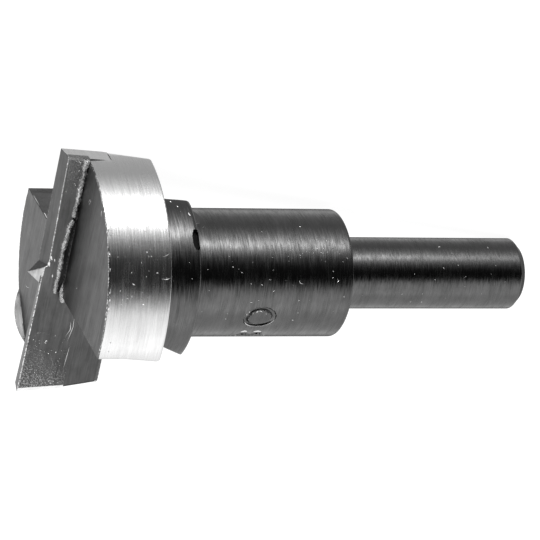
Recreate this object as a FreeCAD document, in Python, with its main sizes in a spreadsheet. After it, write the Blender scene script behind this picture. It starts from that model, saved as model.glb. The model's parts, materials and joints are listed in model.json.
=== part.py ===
import FreeCAD, Part
import Sketcher
import math
import os

# Hinge boring bit, 30 mm: a turned and milled steel body with one brazed cutting plate.
#
# Every piece is drawn in the tool's own frame: X runs along the tool's axis from the plane of the two
# cutting corners (X = 0) to the end of the shank, Z along the blade, and Y across it, towards the side
# that the wing on +Z cuts into. The pieces are then laid down together as the bit comes to rest: on one
# wing, on the far corner of the gullet beside it, and on the rim of the shank's end.

DRIVING_SIZES = [
    # along the axis
    ("land_depth", 2.75),
    ("head_length", 7.15),
    ("flange_length", 5.2),
    ("collar_length", 19.2),
    ("shank_length", 22.7),
    # across the axis
    ("cutter_radius", 15.0),
    ("head_radius", 14.66),
    ("flange_radius", 9.9),
    ("collar_radius", 7.1),
    ("shank_radius", 4.0),
    # broken edges
    ("flange_rounding", 0.55),
    ("collar_chamfer", 0.25),
    ("shank_chamfer", 0.8),
    ("wing_bevel_run", 0.45),
    ("wing_bevel_inset", 0.3),
    # blade
    ("blade_thickness", 1.8),
    ("blade_height", 5.3),
    ("end_relief", 0.47),
    ("edge_dip", 0.1),
    ("outer_flank_drop", 0.35),
    ("inner_flank_drop", 0.6),
    ("point_height", 1.24),
    ("point_foot", 0.6),
    ("point_half_width", 1.05),
    # seat of the blade
    ("braze_gap", 0.05),
    ("bead_rise", 0.8),
    ("bead_leg", 0.55),
    ("bead_full_height", 6.0),
    ("bead_thin_rise", 0.35),
    ("bead_thin_leg", 0.4),
    ("bead_thin_height", 7.8),
    ("bead_end_rise", 0.2),
    ("bead_end_leg", 0.3),
    ("bead_outer_margin", 0.1),
    ("side_bead_length", 1.3),
    # gullets
    ("wall_step", 0.3),
    ("wall_at_head_back", 0.52),
    ("wall_run_out_rise", 0.1),
    ("floor_offset", 2.45),
    ("floor_tilt", 0.037),
    ("floor_head_drop", 0.45),
    ("floor_run_out_rise", 0.575),
    # scoring lip on the rim and nick in the flange
    ("lip_height", 0.73),
    ("lip_half_width", 3.2),
    ("lip_thickness", 0.2),
    ("lip_slope_run", 0.3),
    ("lip_bearing", 217.8),
    ("nick_depth", 0.65),
    ("nick_half_width", 1.15),
    ("nick_inset", 0.6),
    ("nick_bearing", 37.2),
]

# How far a cutting tool's outline runs past the metal that it leaves in the air
OVERRUN = 2.0
# How far the middle of a bead's surface stands out, as a share of its two legs
BEAD_FULLNESS = 0.71
# How deep the foot of the lip's sloping back is drawn, as a share of the lip's height: just inside
# the metal of the land
LIP_SINK = 1.1


class Size:
    """A length known both as a number and as an expression over the sheet."""

    def __init__(self, number, text):
        self.number = number
        self.text = text

    def __add__(self, other):
        other = as_size(other)
        return Size(self.number + other.number, f"({self.text} + {other.text})")

    def __sub__(self, other):
        other = as_size(other)
        return Size(self.number - other.number, f"({self.text} - {other.text})")

    def __mul__(self, other):
        other = as_size(other)
        return Size(self.number * other.number, f"({self.text} * {other.text})")

    def __truediv__(self, other):
        other = as_size(other)
        return Size(self.number / other.number, f"({self.text} / {other.text})")

    def __neg__(self):
        return Size(-self.number, f"(0 - {self.text})")


def as_size(value):
    """Wrap a plain number, so that it can stand beside a size."""
    return value if isinstance(value, Size) else Size(float(value), str(value))


def root(size):
    """Square root of a size."""
    return Size(math.sqrt(size.number), f"sqrt({size.text})")


def sine(degrees):
    """Sine of a size that holds degrees."""
    return Size(math.sin(math.radians(degrees.number)), f"sin({degrees.text})")


def cosine(degrees):
    """Cosine of a size that holds degrees."""
    return Size(math.cos(math.radians(degrees.number)), f"cos({degrees.text})")


def make_sheet(doc):
    """Write the driving sizes to the sheet and return them by name."""
    sheet = doc.addObject("Spreadsheet::Sheet", "Sizes")
    sizes = {}
    for row, (name, number) in enumerate(DRIVING_SIZES, start=1):
        sheet.set(f"A{row}", name)
        sheet.set(f"B{row}", str(number))
        sheet.setAlias(f"B{row}", name)
        sizes[name] = Size(number, f"Sizes.{name}")
    doc.recompute()
    return sizes


class Places:
    """Stations and sections that follow from the driving sizes."""

    def __init__(self, sizes):
        self.size = sizes
        s = sizes
        self.half_blade = s["blade_thickness"] / 2
        self.head_back = s["land_depth"] + s["head_length"]
        self.flange_back = self.head_back + s["flange_length"]
        self.collar_back = self.flange_back + s["collar_length"]
        self.shank_end = self.collar_back + s["shank_length"]
        # outer end of a wing: the corner lies on the cutter's radius, and the end leans in from there
        squared = s["cutter_radius"] * s["cutter_radius"]
        self.wing_end = root(squared - self.half_blade * self.half_blade)
        self.wing_foot_end = self.wing_end - s["end_relief"]
        # gullet wall: it starts a step behind the blade's face and leans back, steeply through the head
        self.wall_at_seat = -self.half_blade + s["wall_step"]
        # gullet floor: square to the wall but for a small tilt, flat under the rim, then a ramp that
        # has left the collar before the cut ends
        ramp_height = s["collar_radius"] - s["floor_offset"]
        self.run_out_end = self.head_back + ramp_height / s["floor_run_out_rise"]
        past_head = self.run_out_end - self.head_back
        self.wall_at_run_out = s["wall_at_head_back"] + past_head * s["wall_run_out_rise"]
        self.floor_drop_at_run_out = s["floor_head_drop"] + past_head * s["floor_run_out_rise"]

    def floor(self, across, drop):
        """Height of a gullet's floor at a distance across the blade, given as a size."""
        s = self.size
        return -(s["floor_offset"] - s["floor_tilt"] * across) - drop


def origin_feature(body, role):
    """One of a body's own origin planes or axes."""
    return next(item for item in body.Origin.OriginFeatures if item.Role == role)


def new_sketch(body, name, role, offset=None, bearing=None):
    """Attach a sketch to an origin plane, pushed along its normal or turned about X first."""
    sketch = body.newObject("Sketcher::SketchObject", name)
    sketch.AttachmentSupport = [(origin_feature(body, role), "")]
    sketch.MapMode = "FlatFace"
    if bearing is not None:
        # the plane's normal points along the bearing, which is measured about X from +Z towards -Y
        shift_y = -(offset * sine(bearing))
        shift_z = offset * cosine(bearing)
        base = FreeCAD.Vector(0, shift_y.number, shift_z.number)
        turn = FreeCAD.Rotation(FreeCAD.Vector(1, 0, 0), bearing.number)
        sketch.AttachmentOffset = FreeCAD.Placement(base, turn)
        sketch.setExpression("AttachmentOffset.Base.y", shift_y.text)
        sketch.setExpression("AttachmentOffset.Base.z", shift_z.text)
        sketch.setExpression("AttachmentOffset.Rotation.Angle", bearing.text)
    elif offset is not None:
        base = FreeCAD.Vector(0, 0, offset.number)
        sketch.AttachmentOffset = FreeCAD.Placement(base, FreeCAD.Rotation())
        sketch.setExpression("AttachmentOffset.Base.z", offset.text)
    return sketch


def fix_point(sketch, geometry, end, x, y):
    """Hold one sketch point at a place given by two sizes."""
    for kind, size, axis in (("DistanceX", x, -2), ("DistanceY", y, -1)):
        if size.number == 0:
            sketch.addConstraint(Sketcher.Constraint("PointOnObject", geometry, end, axis))
        else:
            index = sketch.addConstraint(Sketcher.Constraint(kind, -1, 1, geometry, end, size.number))
            sketch.setExpression(f"Constraints[{index}]", size.text)


def add_polygon(sketch, corners):
    """Draw a closed outline of straight lines through corners given as pairs of sizes."""
    corners = [(as_size(x), as_size(y)) for x, y in corners]
    points = [FreeCAD.Vector(x.number, y.number, 0) for x, y in corners]
    count = len(points)
    first = sketch.GeometryCount
    for index in range(count):
        sketch.addGeometry(Part.LineSegment(points[index], points[(index + 1) % count]), False)
    for index in range(count):
        after = first + (index + 1) % count
        sketch.addConstraint(Sketcher.Constraint("Coincident", first + index, 2, after, 1))
    for index, (x, y) in enumerate(corners):
        fix_point(sketch, first + index, 1, x, y)


def add_quarter(sketch, x, y, radius, start):
    """Draw a quarter disc whose corner lies at x, y and whose arc starts at an angle in degrees."""
    centre = FreeCAD.Vector(x.number, y.number, 0)
    circle = Part.Circle(centre, FreeCAD.Vector(0, 0, 1), radius.number)
    begin = math.radians(start)
    arc = Part.ArcOfCircle(circle, begin, begin + math.pi / 2)
    curve = sketch.addGeometry(arc, False)
    out = sketch.addGeometry(Part.LineSegment(centre, arc.StartPoint), False)
    back = sketch.addGeometry(Part.LineSegment(arc.EndPoint, centre), False)
    sketch.addConstraint(Sketcher.Constraint("Coincident", out, 2, curve, 1))
    sketch.addConstraint(Sketcher.Constraint("Coincident", back, 1, curve, 2))
    sketch.addConstraint(Sketcher.Constraint("Coincident", out, 1, curve, 3))
    sketch.addConstraint(Sketcher.Constraint("Coincident", back, 2, curve, 3))
    level, upright = (out, back) if start % 180 == 0 else (back, out)
    sketch.addConstraint(Sketcher.Constraint("Horizontal", level))
    sketch.addConstraint(Sketcher.Constraint("Vertical", upright))
    fix_point(sketch, curve, 3, x, y)
    index = sketch.addConstraint(Sketcher.Constraint("Radius", curve, radius.number))
    sketch.setExpression(f"Constraints[{index}]", radius.text)


def add_arch(sketch, chord_x, centre_x, radius):
    """Draw a flat arch: an arc that bulges towards -X, closed by an upright chord."""
    centre = FreeCAD.Vector(centre_x.number, 0, 0)
    reach = math.acos((centre_x.number - chord_x.number) / radius.number)
    circle = Part.Circle(centre, FreeCAD.Vector(0, 0, 1), radius.number)
    arc = Part.ArcOfCircle(circle, math.pi - reach, math.pi + reach)
    curve = sketch.addGeometry(arc, False)
    chord = sketch.addGeometry(Part.LineSegment(arc.EndPoint, arc.StartPoint), False)
    sketch.addConstraint(Sketcher.Constraint("Coincident", chord, 1, curve, 2))
    sketch.addConstraint(Sketcher.Constraint("Coincident", chord, 2, curve, 1))
    sketch.addConstraint(Sketcher.Constraint("Vertical", chord))
    fix_point(sketch, curve, 3, centre_x, as_size(0))
    for kind, size, words in (("Radius", radius, (curve,)), ("DistanceX", chord_x, (-1, 1, chord, 1))):
        index = sketch.addConstraint(Sketcher.Constraint(kind, *words, size.number))
        sketch.setExpression(f"Constraints[{index}]", size.text)


def add_feature(body, kind, name, profile, length=None, **settings):
    """Add one PartDesign feature, and stop if it changes nothing."""
    doc = body.Document
    doc.recompute()
    before = body.Shape.Volume if body.Shape.Solids else 0.0
    feature = body.newObject(f"PartDesign::{kind}", name)
    feature.Profile = profile
    if length is not None:
        feature.Length = length.number
        feature.setExpression("Length", length.text)
    for setting, value in settings.items():
        setattr(feature, setting, value)
    doc.recompute()
    changed = body.Shape.Volume - before
    wanted = -1 if kind in ("Pocket", "Groove", "SubtractiveLoft") else 1
    if changed * wanted <= 0:
        raise RuntimeError(f"{name} changed the volume by {changed:.4f} mm3")
    return feature


def repeat_across(body, name, originals):
    """Repeat features half a turn about the tool's axis."""
    pattern = body.newObject("PartDesign::PolarPattern", name)
    pattern.Originals = originals
    pattern.Axis = (origin_feature(body, "X_Axis"), [""])
    pattern.Angle = 360
    pattern.Occurrences = 2
    body.Tip = pattern
    body.Document.recompute()
    return pattern


def turn_blank(body, place):
    """Turn head, flange, collar and shank in one profile."""
    s = place.size
    sketch = new_sketch(body, "turned_outline", "XZ_Plane")
    add_polygon(sketch, [
        (s["land_depth"], 0),
        (s["land_depth"], s["head_radius"]),
        (place.head_back, s["head_radius"]),
        (place.head_back, s["flange_radius"]),
        (place.flange_back, s["flange_radius"]),
        (place.flange_back, s["collar_radius"]),
        (place.collar_back - s["collar_chamfer"], s["collar_radius"]),
        (place.collar_back, s["collar_radius"] - s["collar_chamfer"]),
        (place.collar_back, s["shank_radius"]),
        (place.shank_end - s["shank_chamfer"], s["shank_radius"]),
        (place.shank_end, s["shank_radius"] - s["shank_chamfer"]),
        (place.shank_end, 0),
    ])
    add_feature(body, "Revolution", "turned_blank", sketch, ReferenceAxis=(sketch, ["H_Axis"]))
    round_flange(body, place)


def round_flange(body, place):
    """Round the flange's rear rim: the circle where its outside meets its back."""
    radius = place.size["flange_radius"].number
    station = place.flange_back.number
    rims = [f"Edge{index}" for index, edge in enumerate(body.Shape.Edges, start=1)
            if isinstance(edge.Curve, Part.Circle) and math.isclose(edge.Curve.Radius, radius)
            and math.isclose(edge.Curve.Center.x, station)]
    rounding = place.size["flange_rounding"]
    turned = body.Tip
    fillet = body.newObject("PartDesign::Fillet", "flange_rounding")
    fillet.Base = (turned, rims)
    fillet.Radius = rounding.number
    fillet.setExpression("Radius", rounding.text)
    body.Document.recompute()


def cut_blade_slot(body, place):
    """Mill the slot that the blade sits in, right across the head's face."""
    s = place.size
    side = place.half_blade + s["braze_gap"]
    reach = s["head_radius"] + OVERRUN
    sketch = new_sketch(body, "slot_outline", "YZ_Plane", offset=s["blade_height"])
    add_polygon(sketch, [(-side, -reach), (side, -reach), (side, reach), (-side, reach)])
    add_feature(body, "Pocket", "blade_slot", sketch, s["blade_height"])


def gullet_section(body, place, name, station, wall, drop):
    """One cross-section of the notch beside the wing on -Z, at a station along the axis."""
    reach = place.size["head_radius"] + OVERRUN
    sketch = new_sketch(body, name, "YZ_Plane", offset=station)
    add_polygon(sketch, [
        (wall, place.floor(-wall, drop)),
        (-reach, place.floor(reach, drop)),
        (-reach, -reach),
        (wall, -reach),
    ])
    return sketch


def cut_gullets(body, place):
    """Mill the two chip gullets: square notches with a leaning wall and a floor that ramps out."""
    s = place.size
    level = as_size(0)
    front = gullet_section(body, place, "gullet_front", s["blade_height"], -place.half_blade, level)
    front_cut = add_feature(body, "Pocket", "gullet_front_cut", front, s["blade_height"])
    seat = gullet_section(body, place, "gullet_at_seat", s["blade_height"], place.wall_at_seat, level)
    back = gullet_section(body, place, "gullet_at_head_back", place.head_back,
                          s["wall_at_head_back"], s["floor_head_drop"])
    run_out = gullet_section(body, place, "gullet_run_out", place.run_out_end,
                             place.wall_at_run_out, place.floor_drop_at_run_out)
    ramp_cut = add_feature(body, "SubtractiveLoft", "gullet_ramp_cut", seat,
                           Sections=[back, run_out], Ruled=True)
    repeat_across(body, "both_gullets", [front_cut, ramp_cut])


def bevel_wing_backs(body, place):
    """Break the edge between each gullet's wall and the back of the head, as far in as the flange."""
    s = place.size
    run = s["wing_bevel_run"]
    inset = s["wing_bevel_inset"]
    lean = (s["wall_at_head_back"] - place.wall_at_seat) / (place.head_back - s["blade_height"])
    start = s["wall_at_head_back"] - run * lean
    rise = s["wall_at_head_back"] + inset - start
    sketch = new_sketch(body, "wing_bevel_outline", "XY_Plane", offset=-s["flange_radius"])
    add_polygon(sketch, [
        (place.head_back - run, start),
        (place.head_back + run, start + rise * 2),
        (place.head_back + run, start),
    ])
    bevel = add_feature(body, "Pocket", "wing_bevel", sketch,
                        s["head_radius"] + OVERRUN - s["flange_radius"])
    repeat_across(body, "both_wing_bevels", [bevel])


def lip_section(body, place, name, distance, sink):
    """Arch of the scoring lip in a plane that faces its bearing, sunk towards the shank."""
    s = place.size
    width = s["lip_half_width"]
    height = s["lip_height"]
    radius = (width * width + height * height) / (height * 2)
    centre = s["land_depth"] - height + radius + sink
    sketch = new_sketch(body, name, "XY_Plane", offset=distance, bearing=s["lip_bearing"])
    add_arch(sketch, s["land_depth"] + height / 2 + sink, centre, radius)
    return sketch


def add_scoring_lip(body, place):
    """Raise the low arched lip on the rim with its sloping back, then turn its outside flush."""
    s = place.size
    crest = s["head_radius"] - s["lip_thickness"]
    outline = lip_section(body, place, "lip_outline", crest, as_size(0))
    add_feature(body, "Pad", "lip_blank", outline, s["lip_thickness"] * 2)
    upper = lip_section(body, place, "lip_slope_top", crest, as_size(0))
    lower = lip_section(body, place, "lip_slope_foot", crest - s["lip_slope_run"],
                        s["lip_height"] * LIP_SINK)
    add_feature(body, "AdditiveLoft", "lip_slope", lower, Sections=[upper], Ruled=True)
    ring = new_sketch(body, "lip_turning_outline", "XZ_Plane")
    add_polygon(ring, [
        (-OVERRUN, s["head_radius"]),
        (place.head_back, s["head_radius"]),
        (place.head_back, s["head_radius"] + OVERRUN),
        (-OVERRUN, s["head_radius"] + OVERRUN),
    ])
    add_feature(body, "Groove", "lip_turned_flush", ring, ReferenceAxis=(ring, ["H_Axis"]))


def cut_flange_nick(body, place):
    """Cut the small round-bottomed nick out of the flange's rear edge."""
    s = place.size
    width = s["nick_half_width"]
    depth = s["nick_depth"]
    radius = (width * width + depth * depth) / (depth * 2)
    centre = place.flange_back - depth + radius
    floor_distance = s["flange_radius"] - s["nick_inset"]
    sketch = new_sketch(body, "nick_outline", "XY_Plane", offset=floor_distance,
                        bearing=s["nick_bearing"])
    circle = Part.Circle(FreeCAD.Vector(centre.number, 0, 0), FreeCAD.Vector(0, 0, 1), radius.number)
    curve = sketch.addGeometry(circle, False)
    fix_point(sketch, curve, 3, centre, as_size(0))
    index = sketch.addConstraint(Sketcher.Constraint("Radius", curve, radius.number))
    sketch.setExpression(f"Constraints[{index}]", radius.text)
    add_feature(body, "Pocket", "flange_nick", sketch, s["nick_inset"] * 2, Reversed=True)


def make_cutter_body(doc, place):
    """Steel body: shank, collar, flange and head, with the blade's slot and both gullets."""
    body = doc.addObject("PartDesign::Body", "cutter_body")
    turn_blank(body, place)
    cut_blade_slot(body, place)
    cut_gullets(body, place)
    bevel_wing_backs(body, place)
    add_scoring_lip(body, place)
    cut_flange_nick(body, place)
    return body


def flank_section(body, place, name, height, dip, drop):
    """Outline of what is ground off a wing's front at one height along the blade."""
    side = place.size["blade_thickness"]
    slope = drop / place.size["blade_thickness"]
    reach = place.half_blade + side
    sketch = new_sketch(body, name, "XY_Plane", offset=height)
    add_polygon(sketch, [
        (-OVERRUN, -reach),
        (dip + slope * (place.half_blade + reach), -reach),
        (dip - slope * (reach - place.half_blade), reach),
        (-OVERRUN, reach),
    ])
    return sketch


def make_cutting_blade(doc, place):
    """Hard-metal plate: two relieved wings and a ground centre point."""
    s = place.size
    body = doc.addObject("PartDesign::Body", "cutting_blade")
    plate = new_sketch(body, "plate_outline", "XZ_Plane")
    add_polygon(plate, [
        (0, place.wing_end),
        (0, -place.wing_end),
        (s["blade_height"], -place.wing_foot_end),
        (s["blade_height"], place.wing_foot_end),
    ])
    add_feature(body, "Pad", "plate", plate, s["blade_thickness"], Midplane=True)
    inner = flank_section(body, place, "flank_at_middle", as_size(0), s["edge_dip"],
                          s["inner_flank_drop"])
    outer = flank_section(body, place, "flank_at_end", s["cutter_radius"], as_size(0),
                          s["outer_flank_drop"])
    flank = add_feature(body, "SubtractiveLoft", "front_flank", inner, Sections=[outer], Ruled=True)
    repeat_across(body, "both_flanks", [flank])
    grind_centre_point(body, place)
    return body


def grind_centre_point(body, place):
    """Centre point: a four-sided pyramid between the two wings."""
    s = place.size
    foot = s["point_foot"]
    section = new_sketch(body, "point_outline", "XZ_Plane")
    add_polygon(section, [
        (-s["point_height"], 0),
        (foot, s["point_half_width"]),
        (foot, -s["point_half_width"]),
    ])
    add_feature(body, "Pad", "point_blank", section, s["blade_thickness"], Midplane=True)
    for name, side in (("near", -1), ("far", 1)):
        facet = new_sketch(body, f"point_facet_{name}", "XY_Plane")
        add_polygon(facet, [
            (-s["point_height"], 0),
            (foot, place.half_blade * side),
            (foot, place.half_blade * side * 2),
            (-s["point_height"], place.half_blade * side * 2),
        ])
        add_feature(body, "Pocket", f"point_ground_{name}", facet, s["point_half_width"] * 2,
                    Midplane=True)


def bead_section(body, place, name, height, rise, leg):
    """Cross-section of the braze fillet at one height along the blade: two legs and a full corner."""
    land = place.size["land_depth"]
    face = -place.half_blade
    sketch = new_sketch(body, name, "XY_Plane", offset=height)
    add_polygon(sketch, [
        (land, face),
        (land, face - leg),
        (land - rise * BEAD_FULLNESS, face - leg * BEAD_FULLNESS),
        (land - rise, face),
    ])
    return sketch


def make_braze_bead(doc, place, name):
    """Braze fillet along the blade's foot on one land: full beside the gullet, where the braze ran
    over the corner in a short leg, and thin towards the rim."""
    s = place.size
    body = doc.addObject("PartDesign::Body", name)
    corner_height = place.floor(place.half_blade, as_size(0))
    sections = [
        bead_section(body, place, "bead_at_corner", corner_height, s["bead_rise"], s["bead_leg"]),
        bead_section(body, place, "bead_full", s["bead_full_height"], s["bead_rise"], s["bead_leg"]),
        bead_section(body, place, "bead_thin", s["bead_thin_height"], s["bead_thin_rise"],
                     s["bead_thin_leg"]),
        bead_section(body, place, "bead_end", s["head_radius"] - s["bead_outer_margin"],
                     s["bead_end_rise"], s["bead_end_leg"]),
    ]
    add_feature(body, "AdditiveLoft", "land_bead", sections[0], Sections=sections[1:], Ruled=True)
    down = new_sketch(body, "side_bead_section", "YZ_Plane", offset=s["land_depth"] - s["bead_rise"])
    add_quarter(down, -place.half_blade, corner_height, s["bead_leg"], 180)
    add_feature(body, "Pad", "side_bead", down, s["side_bead_length"])
    return body


def resting_placement(place, shapes):
    """Lay the bit down on a wing, on the corner of the gullet beside it and on the shank's end.

    In the cross-section, each touching point stands out from the axis along one direction, and the
    three heights grow evenly towards the shank, because the axis leans down that way.
    """
    s = place.size
    seat, back = s["blade_height"].number, place.head_back.number
    tip = place.shank_end.number - s["shank_chamfer"].number
    shank = s["shank_radius"].number
    wing = FreeCAD.Vector(0, place.half_blade.number, place.wing_foot_end.number)
    floor = -place.floor(s["head_radius"], s["floor_head_drop"]).number
    corner = FreeCAD.Vector(0, math.sqrt(s["head_radius"].number ** 2 - floor ** 2), floor)
    share = (tip - back) / (tip - seat)
    span = corner - wing * share
    down = math.atan2(span.z, span.y) + math.acos(shank * (1 - share) / span.Length)
    wing_height = wing.y * math.cos(down) + wing.z * math.sin(down)
    lean = math.atan2(wing_height - shank, tip - seat)
    roll = FreeCAD.Rotation(FreeCAD.Vector(1, 0, 0), -90 - math.degrees(down))
    tilt = FreeCAD.Rotation(FreeCAD.Vector(0, 1, 0), math.degrees(lean))
    turn = FreeCAD.Placement(FreeCAD.Vector(), tilt * roll)
    laid = Part.makeCompound([shape.transformed(turn.toMatrix()) for shape in shapes])
    box = laid.optimalBoundingBox(False)
    centre = FreeCAD.Vector((box.XMin + box.XMax) / 2, (box.YMin + box.YMax) / 2, box.ZMin)
    return FreeCAD.Placement(-centre, turn.Rotation)


def check(doc, bodies):
    """Stop if any object failed or any piece is not one valid solid."""
    for item in doc.Objects:
        if {"Invalid", "Error"} & set(item.State):
            raise RuntimeError(f"{item.Label} is {item.State}")
    for body in bodies:
        shape = body.Shape
        if shape.isNull() or not shape.isValid() or len(shape.Solids) != 1:
            raise RuntimeError(f"{body.Label} is not one valid solid")


def main():
    """Build the pieces, lay them down and write each one to its file."""
    doc = FreeCAD.newDocument("hinge_boring_bit")
    place = Places(make_sheet(doc))
    bodies = [make_cutter_body(doc, place), make_cutting_blade(doc, place)]
    turns = {}
    for name, degrees in (("braze_bead_near", 0), ("braze_bead_far", 180)):
        bead = make_braze_bead(doc, place, name)
        turns[name] = FreeCAD.Rotation(FreeCAD.Vector(1, 0, 0), degrees)
        bodies.append(bead)
    doc.recompute()
    check(doc, bodies)
    rest = resting_placement(place, [body.Shape for body in bodies])
    os.makedirs("parts", exist_ok=True)
    for body in bodies:
        own_turn = FreeCAD.Placement(FreeCAD.Vector(), turns.get(body.Label, FreeCAD.Rotation()))
        body.Placement = rest * own_turn
        body.Shape.exportStep(f"parts/{body.Label}.step")
        print(body.Label, round(body.Shape.Volume, 2), "mm3")


main()
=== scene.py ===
"""Hinge boring bit, 30 mm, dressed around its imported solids.

Every surface is worked out in the tool's own frame, in millimetres: X runs along the axis from the plane
of the cutting corners to the end of the shank, Z along the blade, and Y towards the side that the wing
on +Z cuts into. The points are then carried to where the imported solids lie, in metres.
"""

import json
import logging
import math
from dataclasses import dataclass, field
from enum import Enum

import bmesh
import bpy
import numpy as np
from mathutils import Matrix

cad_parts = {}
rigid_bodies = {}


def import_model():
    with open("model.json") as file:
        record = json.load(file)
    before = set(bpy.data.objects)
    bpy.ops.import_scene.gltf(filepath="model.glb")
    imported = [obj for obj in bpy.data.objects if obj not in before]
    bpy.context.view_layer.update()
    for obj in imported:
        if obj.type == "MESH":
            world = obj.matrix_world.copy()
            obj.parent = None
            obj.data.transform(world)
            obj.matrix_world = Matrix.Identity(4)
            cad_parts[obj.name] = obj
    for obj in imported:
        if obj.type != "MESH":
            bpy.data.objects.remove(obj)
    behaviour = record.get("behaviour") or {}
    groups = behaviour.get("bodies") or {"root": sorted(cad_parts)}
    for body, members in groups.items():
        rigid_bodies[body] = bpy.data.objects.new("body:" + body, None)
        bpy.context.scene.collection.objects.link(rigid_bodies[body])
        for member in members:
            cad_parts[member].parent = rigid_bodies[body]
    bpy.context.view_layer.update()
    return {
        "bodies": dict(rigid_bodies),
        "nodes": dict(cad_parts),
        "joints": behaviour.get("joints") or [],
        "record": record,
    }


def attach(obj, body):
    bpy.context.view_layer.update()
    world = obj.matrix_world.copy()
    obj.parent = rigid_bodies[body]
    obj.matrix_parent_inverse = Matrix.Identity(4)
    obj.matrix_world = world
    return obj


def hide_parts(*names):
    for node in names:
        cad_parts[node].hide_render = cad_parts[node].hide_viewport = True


LOG = logging.getLogger("hinge_boring_bit")
MM = 0.001


class Region(Enum):
    """Parts of a surface that are finished in their own way, and the nick's hollow, coloured near black as painted
    shade; the value is the material's place.
    """

    BLACKENED = 0
    GROUND = 1
    MILLED = 2
    FLOOR = 3
    LIP = 4
    HOLLOW = 5


class BladeFace(Enum):
    """Faces of the blade that are finished in their own way; the value is the material's place."""

    FLANK = 0
    END = 1
    BROAD = 2
    POINT = 3


class Lay(Enum):
    """Which way the fine marks of a finish run."""

    ROUND = "round the axis"
    ALONG = "along the blade"


@dataclass(frozen=True)
class ToolFrame:
    """Where the tool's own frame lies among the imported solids."""

    origin: np.ndarray
    axes: np.ndarray

    @classmethod
    def of_packed(cls, frame: dict, shank_middle: float) -> "ToolFrame":
        """Read the frame from the shank's mount and from the broad faces of the blade.

        Args:
            shank_middle: station of the mount along the axis, in millimetres.

        Returns:
            The frame. Its Z points along the wing that lies nearer the floor.
        """
        mount = frame["record"]["mounts"][0]
        along = np.array(mount["axis"], float)
        along /= np.linalg.norm(along)
        origin = np.array(mount["pos_m"], float) - along * shank_middle * MM
        mesh = frame["nodes"]["cutting_blade"].data
        normals = np.zeros(len(mesh.polygons) * 3)
        areas = np.zeros(len(mesh.polygons))
        mesh.polygons.foreach_get("normal", normals)
        mesh.polygons.foreach_get("area", areas)
        normals = normals.reshape(-1, 3)
        spread = np.einsum("i,ij,ik->jk", areas, normals, normals)
        across = np.linalg.eigh(spread)[1][:, -1]
        across -= along * (across @ along)
        across /= np.linalg.norm(across)
        blade = np.cross(along, across)
        if blade[2] > 0:
            across, blade = -across, -blade
        return cls(origin, np.stack([along, across, blade]))

    def place(self, points: np.ndarray) -> np.ndarray:
        """Carry points in millimetres in the tool's frame to metres among the solids."""
        return self.origin + (points * MM) @ self.axes

    def matrix(self) -> Matrix:
        """The frame as a rotation matrix whose columns are its axes."""
        return Matrix(self.axes.T.tolist())


@dataclass(frozen=True)
class BitSizes:
    """Sizes of the bit in millimetres, as its solids have them."""

    land: float = 2.75
    seat: float = 5.3
    head_back: float = 9.9
    flange_back: float = 15.28
    collar_back: float = 34.3
    shank_end: float = 57.0
    cutter_radius: float = 15.0
    head_radius: float = 14.66
    flange_radius: float = 9.9
    collar_radius: float = 7.1
    shank_radius: float = 4.0
    shank_chamfer: float = 0.8
    half_blade: float = 0.9
    slot_half: float = 0.89
    end_relief: float = 0.38
    floor: float = 2.45
    floor_tilt: float = 0.037
    floor_at_head_back: float = 2.9
    floor_rise: float = 0.575
    wall_at_seat: float = -0.6
    wall_at_head_back: float = 0.52
    wall_rise: float = 0.1

    @property
    def shank_middle(self) -> float:
        """Station halfway along the plain part of the shank."""
        return (self.collar_back + self.shank_end - self.shank_chamfer) / 2

    @property
    def wing_end(self) -> float:
        """Reach of the blade's end from the axis, along the blade."""
        return math.sqrt(self.cutter_radius ** 2 - self.half_blade ** 2)

    def wall(self, station: np.ndarray) -> np.ndarray:
        """Offset of a gullet's wall from the middle plane: two straight runs that meet at the head's back."""
        share = (station - self.seat) / (self.head_back - self.seat)
        within = self.wall_at_seat + share * (self.wall_at_head_back - self.wall_at_seat)
        past = self.wall_at_head_back + (station - self.head_back) * self.wall_rise
        return np.where(station < self.head_back, within, past)

    def gullet_floor(self, station: np.ndarray) -> np.ndarray:
        """Height of a gullet's floor over the axis: level in front, then a ramp behind the head."""
        share = (station - self.seat) / (self.head_back - self.seat)
        within = self.floor + share * (self.floor_at_head_back - self.floor)
        past = self.floor_at_head_back + (station - self.head_back) * self.floor_rise
        return np.where(station < self.head_back, within, past)


@dataclass
class Shell:
    """One closed surface: its points, its faces, and what each of them is."""

    points: np.ndarray
    faces: list
    regions: np.ndarray
    # wear of each point; on the stamp's rims, the blade end's band and the braze fillet it carries painted highlight
    # or painted shadow
    wear: np.ndarray


def grid_quads(rows: int, columns: int, closed: bool) -> np.ndarray:
    """Quads between neighbouring rows and columns of a grid of points.

    Args:
        rows: number of rows, counted slowest.
        columns: number of columns.
        closed: whether the last column joins the first.

    Returns:
        Point numbers, four to a face.
    """
    row, column = np.meshgrid(np.arange(rows - 1), np.arange(columns - (not closed)), indexing="ij")
    after = (column + 1) % columns
    corners = [row * columns + column, row * columns + after,
               (row + 1) * columns + after, (row + 1) * columns + column]
    return np.stack(corners, -1).reshape(-1, 4)


def smooth_noise(position: np.ndarray, pitch: float, seed: int) -> np.ndarray:
    """Random heights between -1 and 1 at even knots, joined by a cosine between neighbours."""
    knots = np.random.default_rng(seed).uniform(-1, 1, 4096)
    place = np.asarray(position) / pitch + 512
    low = np.floor(place).astype(int)
    share = (1 - np.cos((place - low) * math.pi)) / 2
    return knots[low % 4096] * (1 - share) + knots[(low + 1) % 4096] * share


def bezier(first: np.ndarray, corner: np.ndarray, last: np.ndarray, share: float) -> np.ndarray:
    """Point on the parabola that rounds a corner, at a share of the way from first to last."""
    return first * (1 - share) ** 2 + corner * (2 * share * (1 - share)) + last * share ** 2


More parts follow.
